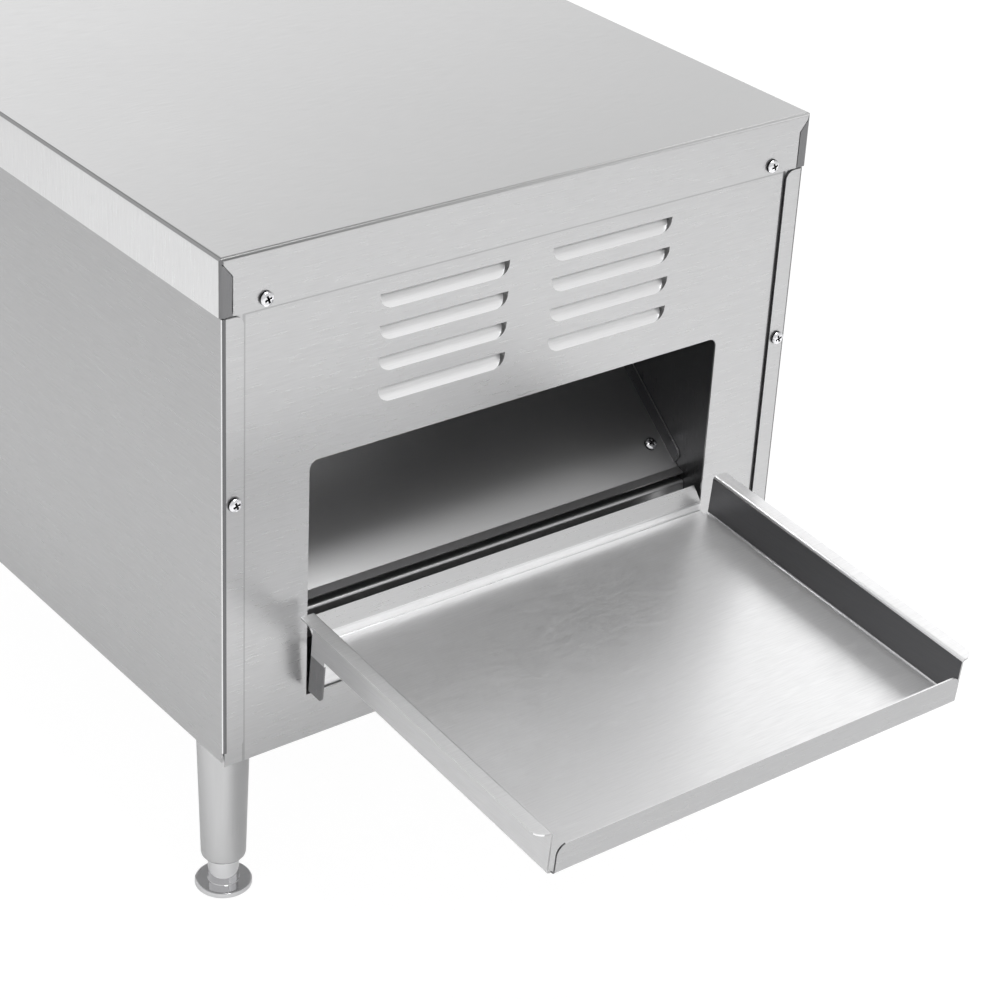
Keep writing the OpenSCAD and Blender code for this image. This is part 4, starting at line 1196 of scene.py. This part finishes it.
@dataclass
class Controls:
    """Switch, knobs, dials, lamps and cord bush on the feed end, sizes in millimetres."""

    body: BodyFrame
    step: float = 74.0
    height: float = 92.0
    face: float = 416.7
    lamp_up: float = 36.0
    gland_x: float = -159.6
    gland_z: float = 32.0
    tick_r: float = 18.8
    ticks: int = 10
    tick_long: float = 2.8
    tick_short: float = 1.8
    drum_r: float = 11.1
    drum_w: float = 15.4
    hollow_r: float = 29.4
    hollow_y: float = 34.0
    rocker_lean: float = 8.0
    rocker_back: float = 5.0
    knob_nodes: tuple[str, ...] = ("speed_knob", "top_heat_knob", "bottom_heat_knob")
    sweeps: tuple[tuple[float, float], ...] = ((-140, 140), (0, 270), (0, 270))

    def spot(self, index: int, up: float = 0.0, out: float = 0.0) -> tuple[float, float, float]:
        """Gives the point of a control on the panel.

        Args:
            index: Number of the control, from the left.
            up: How far above the row, in millimetres.
            out: How far outside the panel, in millimetres.

        Returns:
            The point in metres.
        """
        return self.body.at((index - 1.5) * self.step, self.face + out, self.height + up)

    def build(self) -> None:
        """Builds and dresses the controls."""
        for index, node in enumerate(self.knob_nodes, start=1):
            knob, mark = Knob().build(node + "_moulding", along_y(self.spot(index)))
            dressed(knob, "black", node)
            dressed(mark, "white_mark", node, False)
            self.dial(index, self.sweeps[index - 1])
        for node in ("speed_spindle", "top_heat_spindle", "bottom_heat_spindle"):
            eased_copy(node, "shaft", 0.0003)
        for node in ("speed_control", "top_heat_switch", "bottom_heat_switch"):
            eased_copy(node, "dark_glossy", 0.0004)
        eased_copy("power_switch_body", "black", 0.0003)
        eased_copy("terminal_block", "terminal", 0.0004)
        self.rocker()
        self.lamps()
        self.gland()

    def dial(self, index: int, sweep: tuple[float, float]) -> None:
        """Sets the scale marks round a knob.

        Args:
            index: Number of the control.
            sweep: First and last angle of the knob in degrees.
        """
        low, high = sweep
        marks = []
        place = along_y(self.spot(index))
        start = self.tick_r * MM
        for k in range(self.ticks):
            angle = math.radians(low + (high - low) * k / (self.ticks - 1))
            length = (self.tick_short if k % 3 else self.tick_long) * MM
            mark = block(f"tick_{k}", (-0.0003, start, -0.00002),
                         (0.0003, start + length, 0.00012))
            placed(mark, place @ Matrix.Rotation(angle, 4, "Z"))
            marks.append(mark)
        dressed(joined(f"dial_{index}", marks), "dark_glossy", "feed_end_panel", False)

    def rocker(self) -> None:
        """Shapes the rocker from a short drum with a hollowed face."""
        x, y, z = self.spot(0, 0, -3.0)
        deselect()
        bpy.ops.mesh.primitive_cylinder_add(vertices=64, radius=self.drum_r * MM,
                                            depth=self.drum_w * MM, location=(x, y, z),
                                            rotation=(0, math.pi / 2, 0))
        drum = fresh("rocker_key")
        with editing():
            bpy.ops.mesh.bisect(plane_co=(x, y - self.rocker_back * MM, z), plane_no=(0, -1, 0),
                                clear_outer=True, use_fill=True)
        lean = math.radians(self.rocker_lean)
        reach = self.hollow_y * MM
        deselect()
        bpy.ops.mesh.primitive_cylinder_add(
            vertices=128, radius=self.hollow_r * MM, depth=0.03,
            location=(x, y + reach * math.cos(lean), z - reach * math.sin(lean)),
            rotation=(0, math.pi / 2, 0))
        cut(drum, fresh("hollow"))
        bevelled(drum, 0.0005, 3, 40)
        smooth(drum)
        dressed(drum, "rocker", "power_rocker")

    def lamps(self) -> None:
        """Sets the two pilot lamps with their bezels."""
        profile = [(4.0, -16.0), (4.0, 0.0), (5.5, 0.0), (5.5, 0.8), (5.2, 1.1), (4.4, 1.1),
                   (4.3, 2.2), (3.9, 3.2), (3.1, 4.0), (2.0, 4.45), (0.9, 4.65), (0.05, 4.7)]
        parts = [turned(f"lamp_{i}", profile, along_y(self.spot(i, self.lamp_up)))
                 for i in (0, 2)]
        dressed(joined("pilot_lamp_set", parts), "lamp", "pilot_lamps")

    def gland(self) -> None:
        """Shapes the cord bush with its ribbed neck and its bore."""
        place = along_y(self.body.at(self.gland_x, self.face, self.gland_z))
        rings = [(4.2, -12.0), (7.6, -13.6), (8.0, -13.0), (8.0, 0.0), (12.0, 0.0),
                 (12.0, 3.2), (11.4, 4.0), (7.6, 4.4)]
        for k in range(3):
            low = 5.4 + 3.4 * k
            rings += [(6.9 - 0.3 * k, low), (5.6, low + 0.3), (5.6, low + 1.2),
                      (6.8 - 0.3 * k, low + 1.5)]
        rings += [(5.9, 15.6), (5.4, 16.0), (4.2, 16.0), (4.2, -11.0)]
        piece = turned("cord_bush", rings, place, 40)
        dressed(piece, "black", "cord_gland")


@dataclass
class LoadingRack(CopiedSet):
    """Wire rack at the feed end and the shelf that carries it."""

    rows: Rows = (
        ("loading_rack", "wire", 0.0), ("rack_bracket", "end", 0.00014))


@dataclass
class LegSet:
    """Four tapered legs with screw-in feet, sizes in millimetres."""

    body: BodyFrame
    top_r: float = 14.2
    low_r: float = 12.2
    length: float = 82.5
    plate_r: float = 16.7
    plate_t: float = 1.6
    stem_r: float = 8.4
    pad_r: float = 15.5
    pad_t: float = 3.4
    foot_nodes: tuple[str, ...] = (
        "discharge_left_foot", "discharge_right_foot", "feed_left_foot", "feed_right_foot")

    def build(self) -> None:
        """Builds and dresses legs and feet."""
        legs = []
        for node in self.foot_nodes:
            low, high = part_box(node)
            axis = ((low.x + high.x) / 2, (low.y + high.y) / 2)
            legs.append(self.leg(node.replace("foot", "leg"), axis))
            self.foot(node, axis)
        first, *rest = legs
        dressed(first, "leg", "leg_tubes")
        for leg in rest:
            dressed(leg, "leg", "leg_tubes", False)

    def leg(self, name: str, axis: tuple[float, float]) -> Piece:
        """Turns one leg with the bore for its foot.

        Args:
            name: Name of the leg.
            axis: X and Y of its axis in metres.

        Returns:
            The leg.
        """
        bore, end = self.stem_r + 0.05, -self.length
        low, top = self.low_r, self.top_r
        profile = [
            (bore * 0.02, -22.0), (bore, -22.0), (bore, end + 0.4), (bore + 0.4, end),
            (low - 1.7, end), (low - 0.9, end + 0.35), (low - 0.3, end + 1.1),
            (low, end + 2.4), (low + (top - low) * 0.5, end / 2), (top, -5.0),
            (top, -self.plate_t - 0.5), (top + 0.4, -self.plate_t),
            (self.plate_r - 0.4, -self.plate_t), (self.plate_r, -self.plate_t + 0.4),
            (self.plate_r, -0.05), (5.0, -0.05), (5.0, 9.0), (0.2, 9.0),
        ]
        return turned(name, profile, Matrix.Translation((*axis, self.body.under)), 64)

    def foot(self, node: str, axis: tuple[float, float]) -> None:
        """Turns one foot and dresses it.

        Args:
            node: Node that it stands for.
            axis: X and Y of its axis in metres.
        """
        pad, stem = self.pad_r, self.stem_r
        profile = [
            (pad - 1.2, 0.0), (pad - 0.4, 0.15), (pad, 0.6), (pad, self.pad_t - 1.0),
            (pad - 0.3, self.pad_t - 0.45), (pad - 0.9, self.pad_t - 0.1),
            (pad - 1.6, self.pad_t), (stem + 0.9, self.pad_t), (stem + 0.3, self.pad_t + 0.2),
            (stem, self.pad_t + 0.8), (stem, 58.8), (stem - 0.6, 59.4), (0.2, 59.4),
        ]
        piece = turned(node + "_turned", profile, Matrix.Translation((*axis, 0)), 64)
        dressed(piece, "chrome", node)


# ---- studio


@dataclass
class Studio:
    """Pale floor, soft light and the camera at the picture's place."""

    place: tuple[float, float, float] = (-0.77602, -1.16029, 0.89223)
    right: tuple[float, float, float] = (0.795988, -0.603360, 0.048579)
    up: tuple[float, float, float] = (0.261912, 0.415656, 0.870995)
    back: tuple[float, float, float] = (-0.545716, -0.680578, 0.488885)
    lens: float = 95.616
    wall_light: float = 1.0
    roof_light: float = 0.5
    wall_end: float = 0.65
    roof_start: float = 0.86
    roof_lean: tuple[float, float, float] = (0.6, 0.1, 1.0)
    floor_shows: float = 0.3
    floor_white: float = 0.9
    floor_glow: float = 1.06
    lamps: tuple[tuple[str, tuple[float, float, float], float, float], ...] = (
        ("over", (0.2, -0.8, 2.6), 1.3, 65.0),
        ("front", (1.45, -2.0, 1.5), 1.2, 1.3),
        ("rear", (2.15, 1.0, 1.85), 1.1, 3.2),
    )

    def build(self) -> None:
        """Sets up floor, lights, world and camera."""
        self.floor()
        self.lights()
        self.world()
        self.camera()

    def floor(self) -> None:
        """Lays a floor that looks white to the camera and pale in mirrors, but takes shadows."""
        deselect()
        bpy.ops.mesh.primitive_plane_add(size=40, location=(0, 0, -0.0002))
        floor = fresh("studio_floor")
        white = bpy.data.materials.new("floor_white")
        graph = Graph(white)
        graph.set(Base_Color=(0.88, 0.88, 0.88, 1.0), Roughness=0.8)
        rays = graph.add("LightPath")
        direct = graph.math("MULTIPLY", (rays, "Is Camera Ray"), self.floor_white)
        mirrored = graph.math("MAXIMUM", (rays, "Is Glossy Ray"), (rays, "Is Transmission Ray"))
        share = graph.math("MULTIPLY", (mirrored, 0), self.floor_shows)
        seen = graph.math("MAXIMUM", (direct, 0), (share, 0))
        glow = graph.add("Emission")
        glow.inputs["Strength"].default_value = self.floor_glow
        mix = graph.add("MixShader")
        graph.link(seen, 0, mix, 0)
        graph.link(graph.shader, 0, mix, 1)
        graph.link(glow, 0, mix, 2)
        graph.link(mix, 0, graph.output, 0)
        floor.data.materials.append(white)

    def lights(self) -> None:
        """Hangs the soft lamps."""
        aim = Vector((0, -0.05, 0.2))
        for name, spot, size, power in self.lamps:
            data = bpy.data.lights.new(name, "AREA")
            data.shape = "DISK"
            data.size = size
            data.energy = power
            lamp = bpy.data.objects.new(name, data)
            bpy.context.scene.collection.objects.link(lamp)
            lamp.location = spot
            lamp.rotation_euler = (aim - Vector(spot)).to_track_quat("-Z", "Y").to_euler()

    def world(self) -> None:
        """Surrounds the object with white walls that darken towards a leaning roof."""
        world = bpy.data.worlds.new("white_room")
        bpy.context.scene.world = world
        graph = Graph(world, "Background", "OutputWorld")
        place = graph.add("TexCoord")
        height = graph.add("VectorMath", operation="DOT_PRODUCT")
        height.inputs[1].default_value = self.roof_lean
        graph.link(place, "Generated", height, 0)
        wall = graph.spread(height, self.wall_light, self.roof_light,
                            (self.wall_end, self.roof_start), "Value")
        graph.link(wall, 0, graph.shader, "Strength")

    def camera(self) -> None:
        """Sets the camera where the picture was taken."""
        data = bpy.data.cameras.new("camera")
        data.lens = self.lens
        data.sensor_width = 36.0
        data.clip_start = 0.05
        camera = bpy.data.objects.new("camera", data)
        bpy.context.scene.collection.objects.link(camera)
        turn = Matrix((self.right, self.up, self.back)).transposed().to_4x4()
        camera.matrix_world = Matrix.Translation(self.place) @ turn
        bpy.context.scene.camera = camera


def main() -> None:
    """Builds every sub-assembly and the studio."""
    logging.basicConfig(level=logging.INFO, format="%(message)s")
    body = BodyFrame()
    for part in (
        Casing(body), SlideUnit(body), Trays(body), Heaters(), Conveyor(), ChainDrive(),
        CoolingFan(), Controls(body), LoadingRack(), LegSet(body),
    ):
        part.build()
        LOG.info("%s done", type(part).__name__)
    Studio().build()
    bpy.context.scene.view_settings.view_transform = "Standard"


if __name__ == "__main__":
    main()
